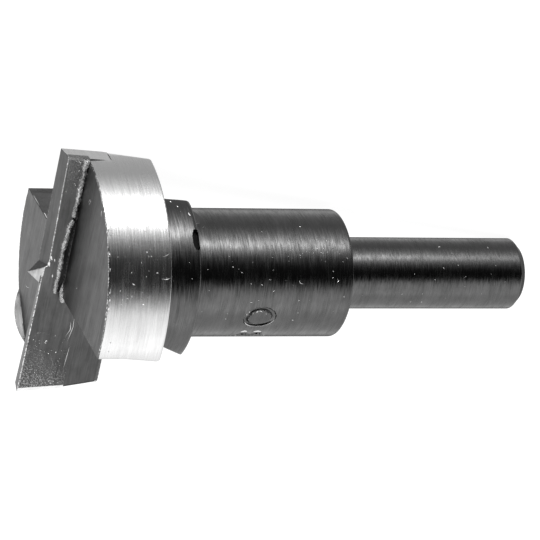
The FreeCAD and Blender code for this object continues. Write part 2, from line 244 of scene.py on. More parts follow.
def closed_loops(points: np.ndarray, region: int = 0) -> Shell:
    """Close a row of loops with a face at each end."""
    rows, columns = points.shape[:2]
    last = (rows - 1) * columns
    faces = [list(range(columns)), list(range(last, last + columns))]
    faces += grid_quads(rows, columns, True).tolist()
    return Shell(points.reshape(-1, 3), faces, np.full(len(faces), region), np.zeros(rows * columns))


class Carrier(Enum):
    """What a scratch lies on, and so what its pairs of numbers are."""

    TURNED = "station and bearing, on a radius"
    LAND = "Y and Z, on a station"
    BLADE = "station and Z, on a broad face"


@dataclass(frozen=True)
class Scratch:
    """A fine bright line or fleck on a surface: a sliver with a low roof, pointed at both ends."""

    carrier: Carrier
    level: float
    line: tuple
    half_width: float = 0.045
    height: float = 0.018

    def shell(self, region: int) -> Shell:
        """The sliver: a triangle carried along the line, with its base sunk into the surface."""
        pairs = np.array(self.line, float)
        count = 9
        share = np.linspace(0, 1, count)
        first, second = (np.interp(share, np.linspace(0, 1, len(pairs)), pairs[:, k]) for k in (0, 1))
        level = np.full(count, self.level)
        if self.carrier is Carrier.TURNED:
            bearing = np.radians(second)
            out = np.stack([np.zeros(count), -np.sin(bearing), np.cos(bearing)], 1)
            middle = np.stack([first, np.zeros(count), np.zeros(count)], 1) + out * self.level
        elif self.carrier is Carrier.LAND:
            out = np.tile([-1.0, 0, 0], (count, 1))
            middle = np.stack([level, first, second], 1)
        else:
            out = np.tile([0, math.copysign(1.0, self.level), 0], (count, 1))
            middle = np.stack([first, level, second], 1)
        run = np.gradient(middle, axis=0)
        side = np.cross(out, run)
        side /= np.linalg.norm(side, axis=1)[:, None]
        taper = np.sqrt(np.clip(np.sin(share * math.pi), 0.03, 1))[:, None]
        base = middle - out * 0.02
        loops = [base - side * taper * self.half_width, middle + out * taper * self.height,
                 base + side * taper * self.half_width]
        return closed_loops(np.stack(loops, 1), region)


def flecks(count: int, seed: int, level: float, stations: tuple, bearings: tuple) -> list[Scratch]:
    """Short scratches strewn over part of a turned surface, most of them nearly round the axis."""
    rng = np.random.default_rng(seed)
    found = []
    for _ in range(count):
        station, bearing = rng.uniform(*stations), rng.uniform(*bearings)
        length, way = rng.uniform(0.06, 0.3), rng.normal(1.57, 0.9)
        ahead, turned = length * math.cos(way), math.degrees(length * math.sin(way) / level)
        found.append(Scratch(Carrier.TURNED, level, ((station, bearing), (station + ahead, bearing + turned)),
                             rng.uniform(0.025, 0.06), 0.03))
    return found


def build_piece(name: str, shells: list[Shell], tool: ToolFrame, materials: list) -> bpy.types.Object:
    """Make one object from closed surfaces, merged where their points meet.

    Args:
        name: name of the piece.
        shells: its closed surfaces, in the tool's frame.
        tool: where that frame lies.
        materials: the finishes that the regions name.

    Returns:
        The object, at the origin, with its place in its mesh.
    """
    whole = bmesh.new()
    for shell in shells:
        part = bpy.data.meshes.new(name + "_part")
        part.from_pydata(tool.place(shell.points).tolist(), [], [list(map(int, f)) for f in shell.faces])
        part.polygons.foreach_set("material_index", shell.regions.astype(np.int32))
        worn = part.attributes.new("wear", "FLOAT", "POINT")
        worn.data.foreach_set("value", shell.wear.astype(np.float32))
        merged = bmesh.new()
        merged.from_mesh(part)
        bmesh.ops.remove_doubles(merged, verts=merged.verts, dist=1.5e-6)
        bmesh.ops.dissolve_degenerate(merged, edges=merged.edges, dist=1e-7)
        bmesh.ops.recalc_face_normals(merged, faces=merged.faces)
        merged.to_mesh(part)
        merged.free()
        whole.from_mesh(part)
        bpy.data.meshes.remove(part)
    mesh = bpy.data.meshes.new(name)
    whole.to_mesh(mesh)
    whole.free()
    mesh.polygons.foreach_set("use_smooth", np.ones(len(mesh.polygons), bool))
    mesh.set_sharp_from_angle(angle=math.radians(32))
    for material in materials:
        mesh.materials.append(material)
    piece = bpy.data.objects.new(name, mesh)
    bpy.context.scene.collection.objects.link(piece)
    LOG.info("%s: %d points, %d faces", name, len(mesh.vertices), len(mesh.polygons))
    return piece


@dataclass(frozen=True)
class Mark:
    """One stamped figure on the collar, drawn as centre lines about its middle."""

    lines: tuple
    bearing: float
    station: float
    lean: float = 0.05
    # strength of the painted highlight along the figure's groove rim
    rim_highlight: float = 0.7

    def distance(self, right: np.ndarray, up: np.ndarray) -> np.ndarray:
        """Distance of points on the unrolled collar from the figure's nearest centre line."""
        turned_right = right * math.cos(self.lean) + up * math.sin(self.lean)
        turned_up = up * math.cos(self.lean) - right * math.sin(self.lean)
        nearest = np.full(right.shape, 1e9)
        for line in self.lines:
            for (x0, y0), (x1, y1) in zip(line[:-1], line[1:]):
                run_x, run_y = x1 - x0, y1 - y0
                share = ((turned_right - x0) * run_x + (turned_up - y0) * run_y) / (run_x ** 2 + run_y ** 2)
                share = np.clip(share, 0, 1)
                away = np.hypot(turned_right - x0 - share * run_x, turned_up - y0 - share * run_y)
                nearest = np.minimum(nearest, away)
        return nearest


def arc_line(right: float, up: float, half_width: float, half_height: float,
             start: float, end: float, count: int) -> list:
    """Points along part of an ellipse, between two angles in degrees."""
    angles = np.radians(np.linspace(start, end, count))
    return list(zip(right + half_width * np.cos(angles), up + half_height * np.sin(angles)))


@dataclass
class CutterBody:
    """Steel body: head with two gullets, flange, collar with its size mark, and shank."""

    sizes: BitSizes = field(default_factory=BitSizes)
    edge: float = 0.09
    support: float = 0.14
    root: float = 0.3
    back_bevel_run: float = 0.45
    back_bevel_inset: float = 0.3
    flange_round: float = 0.55
    lip_height: float = 0.73
    lip_half_width: float = 3.2
    lip_bearing: float = 217.8
    nick_half_length: float = 0.5
    nick_half_width: float = 1.2
    nick_inset: float = 0.6
    nick_bearing: float = 37.2
    stamp_depth: float = 0.34
    stamp_half_stroke: float = 0.28
    scratches: tuple = (
        Scratch(Carrier.TURNED, 14.66, ((8.7, 61.0), (9.3, 61.3), (9.7, 60.7)), 0.05),
        Scratch(Carrier.TURNED, 14.66, ((8.85, 51.9), (9.35, 51.2), (9.7, 50.2))),
        Scratch(Carrier.TURNED, 14.66, ((7.18, 51.5), (7.34, 51.9)), 0.09),
        Scratch(Carrier.TURNED, 14.66, ((7.52, 51.6), (7.68, 51.8)), 0.09),
        Scratch(Carrier.TURNED, 14.66, ((5.45, 63.1), (5.75, 63.6)), 0.1),
        Scratch(Carrier.TURNED, 14.66, ((4.86, 69.0), (5.1, 69.4)), 0.07),
        Scratch(Carrier.TURNED, 14.66, ((3.05, 42.7), (3.25, 43.4)), 0.1),
        Scratch(Carrier.LAND, 2.75, ((-3.08, 10.66), (-3.4, 11.2), (-3.66, 11.22), (-3.5, 10.49))),
        Scratch(Carrier.LAND, 2.75, ((12.66, 2.1), (11.68, 2.13), (10.38, 2.2))),
        Scratch(Carrier.LAND, 2.75, ((8.61, 2.3), (8.0, 2.33), (7.15, 2.3)), 0.07),
        Scratch(Carrier.LAND, 2.75, ((8.62, -4.7), (7.9, -3.9), (7.29, -3.1))),
        Scratch(Carrier.LAND, 2.75, ((9.6, -7.6), (9.3, -7.7), (8.6, -7.5), (8.0, -7.0))),
        Scratch(Carrier.LAND, 2.75, ((-4.8, 0.85), (-4.9, 1.0)), 0.08),
        Scratch(Carrier.LAND, 2.75, ((-7.05, 12.2), (-7.3, 11.4)), 0.05),
        Scratch(Carrier.TURNED, 9.9, ((12.8, 7.4), (13.0, 8.1)), 0.08),
        Scratch(Carrier.TURNED, 9.9, ((13.4, 12.0), (13.6, 12.9)), 0.08),
        Scratch(Carrier.TURNED, 9.9, ((14.0, 61.8), (14.1, 62.6)), 0.07),
        Scratch(Carrier.TURNED, 9.9, ((13.7, 51.8), (13.8, 52.5)), 0.06),
        Scratch(Carrier.TURNED, 7.1, ((19.4, 43.4), (19.6, 44.2)), 0.07),
        Scratch(Carrier.TURNED, 7.1, ((24.5, 44.4), (24.7, 45.2)), 0.08),
        Scratch(Carrier.TURNED, 7.1, ((28.9, 39.2), (29.1, 40.2)), 0.07),
        Scratch(Carrier.TURNED, 7.1, ((31.7, 56.2), (31.8, 57.4)), 0.08),
        Scratch(Carrier.TURNED, 7.1, ((23.3, 68.8), (23.5, 69.6)), 0.07),
        Scratch(Carrier.TURNED, 7.1, ((28.6, 12.3), (28.8, 13.4)), 0.07),
        Scratch(Carrier.TURNED, 7.1, ((27.72, 64.9), (27.9, 67.6), (28.31, 68.5)), 0.05),
        # painted highlights: these three bright slivers stand for the stamped figures' rims catching the light, two
        # on the three and an arc beside the nought
        Scratch(Carrier.TURNED, 7.1, ((22.55, 125.2), (22.95, 123.4), (23.3, 124.6)), 0.2, 0.08),
        Scratch(Carrier.TURNED, 7.1, ((24.05, 124.8), (24.5, 123.6), (25.0, 124.8)), 0.2, 0.08),
        Scratch(Carrier.TURNED, 7.1, tuple((23.92 + 1.84 * math.cos(turn), 103 + 12.0 * math.sin(turn))
                                           for turn in np.linspace(0.25, 2.75, 13)), 0.07, 0.05),
        Scratch(Carrier.TURNED, 14.66, ((2.95, 38.4), (2.92, 41.6)), 0.12, 0.05),
        Scratch(Carrier.TURNED, 14.66, ((2.95, 65.4), (2.92, 67.3)), 0.11, 0.05),
        Scratch(Carrier.TURNED, 14.66, ((2.95, 68.6), (3.0, 70.6)), 0.11, 0.05),
        Scratch(Carrier.TURNED, 14.66, ((2.92, 72.4), (2.96, 74.4)), 0.12, 0.05),
        Scratch(Carrier.TURNED, 14.66, ((2.9, 50.0), (2.9, 52.0)), 0.06, 0.05),
        Scratch(Carrier.TURNED, 14.66, ((2.9, 56.5), (2.9, 58.0)), 0.06, 0.05),
        Scratch(Carrier.TURNED, 9.9, ((14.45, 17.0), (14.65, 20.5)), 0.07))

    def profile(self) -> dict[str, np.ndarray]:
        """Rings of the turned outline, from the blade's seat to the middle of the shank's end.

        Each corner is rounded along a parabola between two points at its size from the corner, with a
        further ring on each side that keeps the flats flat. Straight runs are filled between corners.

        Returns:
            Station and radius of each ring, the station at which its gullet points are held, the inset
            of its arc from the gullets' edges, and its wear.
        """
        z = self.sizes
        fine = np.arange(0.12, 2.4, 0.12)
        corners = [
            # station, radius, size, wear, fill as far as the next corner
            (z.head_back, z.head_radius, 0.14, 0.9, np.linspace(14.0, 10.5, 8)),
            (z.head_back, z.flange_radius, 0.12, 0, np.r_[10.4:13.6:0.5, 13.9:14.56:0.05]),
            (z.flange_back, z.flange_radius, self.flange_round, 0, np.linspace(9.0, 7.6, 5)),
            (z.flange_back, z.collar_radius, 0.12, 0,
             np.r_[z.flange_back + 0.2 + fine, 18.0:21.5:0.7, 21.7:26.2:0.075, 27.0:33.8:0.8]),
            (z.collar_back, z.collar_radius, 0.25, 0.5, np.linspace(6.4, 4.5, 4)),
            (z.collar_back, z.shank_radius, 0.1, 0, np.linspace(35, 55.8, 12)),
            (z.shank_end - z.shank_chamfer, z.shank_radius, 0.08, 0.6, np.array([])),
            (z.shank_end, z.shank_radius - z.shank_chamfer, 0.08, 0.6, np.linspace(2.8, 0.4, 5)),
            (z.shank_end, 0.0, 0.0, 0, np.array([])),
        ]
        points = [np.array([[z.seat, z.head_radius, 0.0]]),
                  np.stack([np.linspace(5.8, 9.3, 5), np.full(5, z.head_radius), np.zeros(5)], 1)]
        before = np.array([z.seat, z.head_radius])
        for index, (station, radius, size, worn, fill) in enumerate(corners):
            corner = np.array([station, radius])
            if size == 0:
                points.append(np.array([[station, radius, 0.0]]))
                break
            after = np.array(corners[index + 1][:2])
            into = (corner - before) / np.linalg.norm(corner - before)
            out = (after - corner) / np.linalg.norm(after - corner)
            count = max(6, round(size / 0.045))
            rounded = [bezier(corner - into * size, corner, corner + out * size, share)
                       for share in np.linspace(0, 1, count)]
            rounded = [corner - into * (size + self.support)] + rounded + [corner + out * (size + self.support)]
            points.append(np.column_stack([np.array(rounded), [0.0] + [worn] * count + [0.0]]))
            if len(fill):
                level = abs(out[0]) > 0.5
                run = [fill, np.full(len(fill), radius)] if level else [np.full(len(fill), station), fill]
                points.append(np.column_stack([*run, np.zeros(len(fill))]))
            before = corner
        rings = np.concatenate(points)
        station, radius = rings[:, 0], rings[:, 1]
        held, inset = station.copy(), np.full(len(station), self.edge)
        for back, run, side in ((z.head_back, self.back_bevel_run, self.back_bevel_inset),
                                (z.flange_back, 0.1, self.edge)):
            shoulder = (station > back - run) & (station <= back + 1e-9)
            held[shoulder] = back - run
            inset[shoulder & (station > back - 0.2)] = side
        return {"station": station, "radius": radius, "held": held, "inset": inset, "wear": rings[:, 2]}

    def half_loop(self, rings: dict[str, np.ndarray], angles: np.ndarray) -> dict[str, np.ndarray]:
        """Half of every ring, from one gullet's wall round the rim and down into the next gullet.

        A gullet is the space past two lines: a wall at a set offset from the middle plane, and a floor
        square to it but for a small tilt. The arc runs between the points where those lines meet the
        ring's circle, and the lines' points lie at the same set of radii in every ring, cut off at the
        circle, so that the flats stay flat. Where the circle no longer reaches the gullet's corner, all
        of these points draw together.

        Args:
            rings: the turned outline.
            angles: directions of the arc's points, in radians from +Y towards +Z.

        Returns:
            Points, finish of each column and wear of each point.
        """
        z = self.sizes
        radius, held = rings["radius"][:, None], rings["held"][:, None]
        station, inset = rings["station"][:, None], rings["inset"][:, None]
        wall, floor = z.wall(held), z.gullet_floor(held)
        norm = math.hypot(1, z.floor_tilt)
        normal, along = np.array([z.floor_tilt, 1]) / norm, np.array([1, -z.floor_tilt]) / norm
        depth = np.minimum(floor / norm, radius)
        reach = np.sqrt(np.maximum(radius ** 2 - depth ** 2, 0))
        corner = np.concatenate([-wall, floor + z.floor_tilt * wall], 1)
        inside = (np.hypot(corner[:, :1], corner[:, 1:]) < radius) & (station < 22)
        far_end = depth * normal - reach * along
        corner = np.where(inside, corner, far_end)
        from_foot = np.where(inside, corner @ along[:, None], -reach)
        wall_top = np.sqrt(np.maximum(radius ** 2 - wall ** 2, 0))
        wall_length = np.where(inside, wall_top - corner[:, 1:], 0)
        room = 0.3 * np.minimum(wall_length, reach - from_foot)
        edge = np.minimum(self.edge, room)
        root = np.minimum(self.root, room)
        inset = np.minimum(inset, room)
        shelf = radius - edge
        held_rows = np.isclose(held, z.head_back - self.back_bevel_run) | np.isclose(held, z.flange_back - 0.1)
        levels = np.unique(np.round(np.r_[shelf[held_rows[:, 0], 0], 3.2, 4.2, 5.2, 6.2], 6))[::-1][None, :]
        levels = np.broadcast_to(levels, (len(radius), levels.shape[1]))
        firm = np.where(held_rows, 0, np.minimum(self.support, room))
        levels = np.concatenate([shelf, shelf - firm, levels], 1)
        floor_limit = np.sqrt(np.maximum(shelf ** 2 - depth ** 2, 0))
        floor_run = np.sqrt(np.maximum(levels ** 2 - depth ** 2, 0))
        floor_run = np.minimum(np.maximum(floor_run, from_foot + root), np.maximum(floor_limit, from_foot + root))
        wall_limit = np.sqrt(np.maximum(shelf ** 2 - wall ** 2, 0))
        wall_run = np.sqrt(np.maximum(levels ** 2 - wall ** 2, 0))
        low = corner[:, 1:] + root
        wall_run = np.minimum(np.maximum(wall_run, low), np.maximum(wall_limit, low))
        wall_run = np.where(wall_length > 0, wall_run, corner[:, 1:])
        wall_y = np.where(wall_length > 0, -wall, corner[:, :1])

        def points(x: np.ndarray, y: np.ndarray, up: np.ndarray) -> np.ndarray:
            """Stack three coordinates that may be columns into points."""
            return np.stack(np.broadcast_arrays(x, y, up), -1).astype(float)

        floor_points = points(held, depth * normal[0] + floor_run * along[0],
                              depth * normal[1] + floor_run * along[1])
        wall_points = points(held, wall_y, wall_run)
        rim_floor = points(station, depth * normal[0] + reach * along[0], depth * normal[1] + reach * along[1])
        rim_wall = points(station, wall_y, np.where(wall_length > 0, wall_top, corner[:, 1:]))
        small = np.maximum(radius, 1e-6)
        floor_angle = np.arctan2(rim_floor[..., 2], rim_floor[..., 1]) - inset / small
        wall_angle = np.arctan2(rim_wall[..., 2], rim_wall[..., 1]) + inset / small - math.pi
        ease = np.where(inset > 0, np.minimum(self.support, inset * 3), 0) / small
        inner = np.clip(angles[None, :], wall_angle + ease, floor_angle - ease)
        spread = np.concatenate([wall_angle, inner, floor_angle], 1)
        arc = points(station, radius * np.cos(spread), radius * np.sin(spread))
        rim_floor_in, rim_wall_in = arc[:, -1:], arc[:, :1] * np.array([1, -1, -1])
        floor_mid = bezier(rim_floor_in, rim_floor, floor_points[:, :1], 0.5)
        wall_mid = bezier(wall_points[:, :1], rim_wall, rim_wall_in, 0.5)
        root_point = points(held, corner[:, :1], corner[:, 1:])
        root_mid = bezier(floor_points[:, -1:], root_point, wall_points[:, -1:], 0.5)
        loop = np.concatenate([wall_mid * np.array([1, -1, -1]), arc, floor_mid, floor_points,
                               root_mid, wall_points[:, ::-1]], 1)
        arc_columns, line_columns = arc.shape[1], floor_points.shape[1]
        wear = np.zeros(loop.shape[:2])
        wear[:, :2], wear[:, arc_columns:arc_columns + 3] = 1, 1
        wear[:, -1] = 1
        wear *= (room > 0.01)
        wear[:, 1:arc_columns + 1] = np.maximum(wear[:, 1:arc_columns + 1], rings["wear"][:, None])
        column = np.arange(loop.shape[1])
        milled, floor = column > arc_columns, (column > arc_columns) & (column <= arc_columns + line_columns)
        return {"points": loop, "milled": milled, "floor": floor, "wear": wear}

    def press_nick(self, points: np.ndarray) -> np.ndarray:
        """Sink the flange's points inside a round outline to a flat a little below its surface.

        Args:
            points: the body's points, which are moved where they lie.

        Returns:
            Whether each point is in the nick.
        """
        z = self.sizes
        bearing = math.radians(self.nick_bearing)
        out = np.array([-math.sin(bearing), math.cos(bearing)])
        side = np.array([math.cos(bearing), math.sin(bearing)])
        height, across = points[..., 1:] @ out, points[..., 1:] @ side
        middle = z.flange_back - 0.42
        away = np.hypot((points[..., 0] - middle) / self.nick_half_length, across / self.nick_half_width)
        flat = z.flange_radius - self.nick_inset
        over = (height > flat) & (points[..., 0] > z.flange_back - 2) & (points[..., 0] < z.flange_back - 0.03)
        share = np.clip((1 - away) / 0.1, 0, 1)
        sink = np.where(over, share * (height - flat), 0)
        points[..., 1:] -= sink[..., None] * out
        return over & (share > 0.5)

    def wear_corner(self, points: np.ndarray) -> None:
        """Round the flange's rear corner further where it is worn, opposite the floor."""
        z = self.sizes
        radius = np.hypot(points[..., 1], points[..., 2])
        bearing = np.degrees(np.arctan2(-points[..., 1], points[..., 2]))
        window = np.clip(1 - np.abs(bearing + 31.8) / 42, 0, 1)
        run = np.clip((points[..., 0] - 14.0) / (z.flange_back - 14.0), 0, 1)
        on_flange = (radius > 9.0) & (points[..., 0] > 14.0) & (points[..., 0] < z.flange_back + 0.01)
        sink = np.where(on_flange, 0.4 * window * (2 - window) * run ** 2, 0)
        points[..., 1:] *= (1 - sink / np.maximum(radius, 1))[..., None]

    def stamp(self, points: np.ndarray, marks: list[Mark]) -> np.ndarray:
        """Press the size mark into the collar: a round-bottomed groove along each figure's lines.

        Args:
            points: the body's points, which are moved where they lie.
            marks: the figures.

        Returns:
            Painted highlight of each point along the grooves' rims, carried in the wear channel.
        """
        z = self.sizes
        radius = np.hypot(points[..., 1], points[..., 2])
        bearing = np.arctan2(-points[..., 1], points[..., 2])
        on_collar = (points[..., 0] > 20) & (points[..., 0] < 28) & (radius > z.collar_radius - 0.01)
        sink, rim = np.zeros(radius.shape), np.zeros(radius.shape)
        for mark in marks:
            turn = (bearing - math.radians(mark.bearing) + math.pi) % (2 * math.pi) - math.pi
            away = mark.distance(-turn * z.collar_radius, mark.station - points[..., 0])
            share = np.clip(1 - away / self.stamp_half_stroke, 0, 1)
            sink = np.maximum(sink, self.stamp_depth * np.sqrt(share * (2 - share)))
            # painted highlight: a band along each groove's rim is made brighter
            near_rim = np.abs(away - self.stamp_half_stroke) < 0.07
            rim = np.maximum(rim, near_rim * mark.rim_highlight)
        scale = np.where(on_collar, 1 - sink / np.maximum(radius, 1), 1)
        points[..., 1:] *= scale[..., None]
        return rim * on_collar

    def marks(self) -> list[Mark]:
        """The figures of the bore's size: a three and a nought, with their tops towards the head."""
        nought = (tuple(arc_line(0, 0, 1.26, 1.62, 0, 360, 33)),)
        upper = arc_line(0, 0.84, 1.0, 0.83, 150, -90, 15)
        lower = arc_line(0, -0.83, 1.12, 0.84, 90, -150, 15)
        three = (tuple(upper), tuple(lower))
        return [Mark(nought, 103.0, 23.92, rim_highlight=0.85), Mark(three, 138.5, 24.0)]

    def turned_shell(self) -> Shell:
        """The body behind the blade's seat, as rings carried along its turned outline."""
        rings = self.profile()
        coarse = np.linspace(-90, 90, 73)
        near = np.unique(np.round(np.r_[coarse, -61:-44.5:0.3, 0:62:0.55], 3))
        far_half = self.half_loop(rings, np.radians(coarse))
        near_half = self.half_loop(rings, np.radians(near))
        turned = near_half["points"] * np.array([1, -1, -1])
        points = np.concatenate([far_half["points"], turned], 1)
        self.wear_corner(points)
        hollow = self.press_nick(points)
        rim_highlight = self.stamp(points, self.marks())
        rows, columns = points.shape[:2]
        quads = grid_quads(rows, columns, True)
        milled = np.r_[far_half["milled"], near_half["milled"]]
        milled &= np.r_[milled[1:], milled[:1]]
        rim = (rings["station"] < self.sizes.head_back - 0.02)[:-1]
        floor = np.r_[far_half["floor"], near_half["floor"]]
        on_head = np.where(milled, np.where(floor, Region.FLOOR.value, Region.MILLED.value), Region.GROUND.value)
        regions = np.where(rim[:, None], on_head[None, :], Region.BLACKENED.value)
        # painted shade: faces inside the nick take the near-black finish
        deep = np.stack([hollow, np.roll(hollow, -1, 1)]).sum(0)
        regions = np.where(deep[:-1] + deep[1:] >= 2, Region.HOLLOW.value, regions)
        wear = np.maximum(np.concatenate([far_half["wear"], near_half["wear"]], 1), rim_highlight)
        faces = [list(range(columns))] + quads.tolist()
        return Shell(points.reshape(-1, 3), faces, np.r_[Region.MILLED.value, regions.ravel()], wear.ravel())

    def lip(self, angles: np.ndarray, radius: np.ndarray) -> np.ndarray:
        """Height of the scoring lip over the land: a flat arch about its bearing."""
        bearing = math.radians(self.lip_bearing)
        middle = math.atan2(math.cos(bearing), -math.sin(bearing))
        across = radius * np.sin(angles - middle)
        arch = (self.lip_half_width ** 2 + self.lip_height ** 2) / (2 * self.lip_height)
        rise = np.sqrt(np.maximum(arch ** 2 - across ** 2, 0)) - (arch - self.lip_height)
        return np.where(np.abs(angles - middle) < 0.5, np.maximum(rise, 0), 0)

    def land_shell(self, with_lip: bool) -> Shell:
        """One land in front of the blade's seat: its outline carried up the rim and over its edge.

        The outline is an arc, the gullet's floor line and the slot's side, moved inwards by an inset
        and rounded at its three corners. The lip raises the rings near the rim.

        Args:
            with_lip: whether this land carries the scoring lip.

        Returns:
            The closed shell, on the far side of the blade.
        """
        z = self.sizes
        round_size = 0.03
        rows = np.array([
            # inset, station, share of the lip
            [0, z.seat, 0], [0, 4.6, 0], [0, 3.9, 0], [0, 3.3, 0.3], [0, 3.05, 0.75], [0, 2.92, 1],
            [0, z.land + 0.09, 1], [0.01, z.land + 0.045, 1], [0.03, z.land + 0.015, 1],
            [0.075, z.land, 1], [0.18, z.land, 0.97], [0.3, z.land, 0.6], [0.42, z.land, 0.15],
            [0.5, z.land, 0], [0.65, z.land, 0]])
        inset = rows[:, :1]
        norm = math.hypot(1, z.floor_tilt)
        normal, along = np.array([z.floor_tilt, 1]) / norm, np.array([1, -z.floor_tilt]) / norm
        pull = np.maximum(round_size, inset)
        small = pull - inset
        slot, depth = z.slot_half + pull, z.floor / norm - pull
        first_z = -np.sqrt((z.head_radius - pull) ** 2 - slot ** 2)
        second = depth * normal + np.sqrt((z.head_radius - pull) ** 2 - depth ** 2) * along
        third_z = (depth - normal[0] * slot) / normal[1]
        start, end = np.arctan2(first_z, slot), np.arctan2(second[:, 1:], second[:, :1])
        upright = math.atan2(normal[1], normal[0])
        share = np.linspace(0, 1, 5)[None, :]
        refined = np.r_[np.linspace(0, 1, 80), np.linspace(0.22, 0.52, 40)]
        spread = start + np.sort(refined)[None, 1:-1] * (end - start)

        def turn(y: np.ndarray, up: np.ndarray, begin: np.ndarray, finish: np.ndarray) -> np.ndarray:
            """Points round one corner's small arc."""
            angle = begin + share * (finish - begin)
            return np.stack([y + small * np.cos(angle), up + small * np.sin(angle)], -1)

        run = np.linspace(0, 1, 14)[None, 1:-1, None]
        corner_one = turn(slot, first_z, np.full_like(start, -math.pi), start)
        rim = np.stack([(z.head_radius - inset) * np.cos(spread), (z.head_radius - inset) * np.sin(spread)], -1)
        corner_two = turn(second[:, :1], second[:, 1:], end, np.full_like(end, upright))
        corner_three = turn(slot, third_z, np.full_like(start, upright), np.full_like(start, math.pi))
        floor_line = corner_two[:, -1:] + run * (corner_three[:, :1] - corner_two[:, -1:])
        slot_line = corner_three[:, -1:] + run * (corner_one[:, :1] - corner_three[:, -1:])
        outline = np.concatenate([corner_one, rim, corner_two, floor_line, corner_three, slot_line], 1)
        angles = np.arctan2(outline[..., 1], outline[..., 0])
        on_rim = np.zeros(outline.shape[1], bool)
        on_rim[5:5 + rim.shape[1]] = True
        height = self.lip(angles, z.head_radius - inset) * rows[:, 2:] * on_rim * with_lip
        points = np.concatenate([(rows[:, 1:2] - height)[..., None], outline], -1)
        count, columns = points.shape[:2]
        quads = grid_quads(count, columns, True)
        on_side = np.r_[on_rim[1:] | on_rim[:-1], False]
        ground = on_side[None, :] & (np.arange(count - 1) < 6)[:, None]
        raised = (np.arange(count - 1) >= 6)[:, None] & (height[:-1] > 0.1)
        floor_side = np.zeros(columns, bool)
        floor_side[10 + rim.shape[1]:10 + rim.shape[1] + floor_line.shape[1]] = True
        regions = np.where(ground, Region.GROUND.value, Region.MILLED.value)
        regions = np.where(raised, Region.LIP.value, regions)
        regions = np.where(floor_side[None, :] & (np.arange(count - 1) < 6)[:, None], Region.FLOOR.value, regions)
        wear = np.zeros((count, columns))
        wear[6:11] = on_rim
        wear[11:] = 0
        last = (count - 1) * columns
        faces = [list(range(columns)), list(range(last, last + columns))] + quads.tolist()
        milled = [Region.MILLED.value] * 2
        return Shell(points.reshape(-1, 3), faces, np.r_[milled, regions.ravel()], wear.ravel())

    def build(self, tool: ToolFrame, materials: list) -> bpy.types.Object:
        """Make the body from its turned shell and its two lands."""
        far_land, near_land = self.land_shell(True), self.land_shell(False)
        near_land.points = near_land.points * np.array([1, -1, -1])
        shells = [self.turned_shell(), far_land, near_land]
        strewn = flecks(46, 3, 7.1, (26.5, 33.8), (24, 48)) + flecks(34, 4, 7.1, (15.6, 33.5), (28, 100))
        strewn += flecks(14, 5, 4.0, (35.2, 55.5), (25, 110)) + flecks(10, 6, 9.9, (10.3, 14.2), (8, 70))
        strewn += flecks(22, 7, 14.65, (3.2, 9.5), (38, 72))
        shells += [scratch.shell(Region.GROUND.value) for scratch in (*self.scratches, *strewn)]
        piece = build_piece("steel_body", shells, tool, materials)
        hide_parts("cutter_body")
        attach(piece, "root")
        return piece


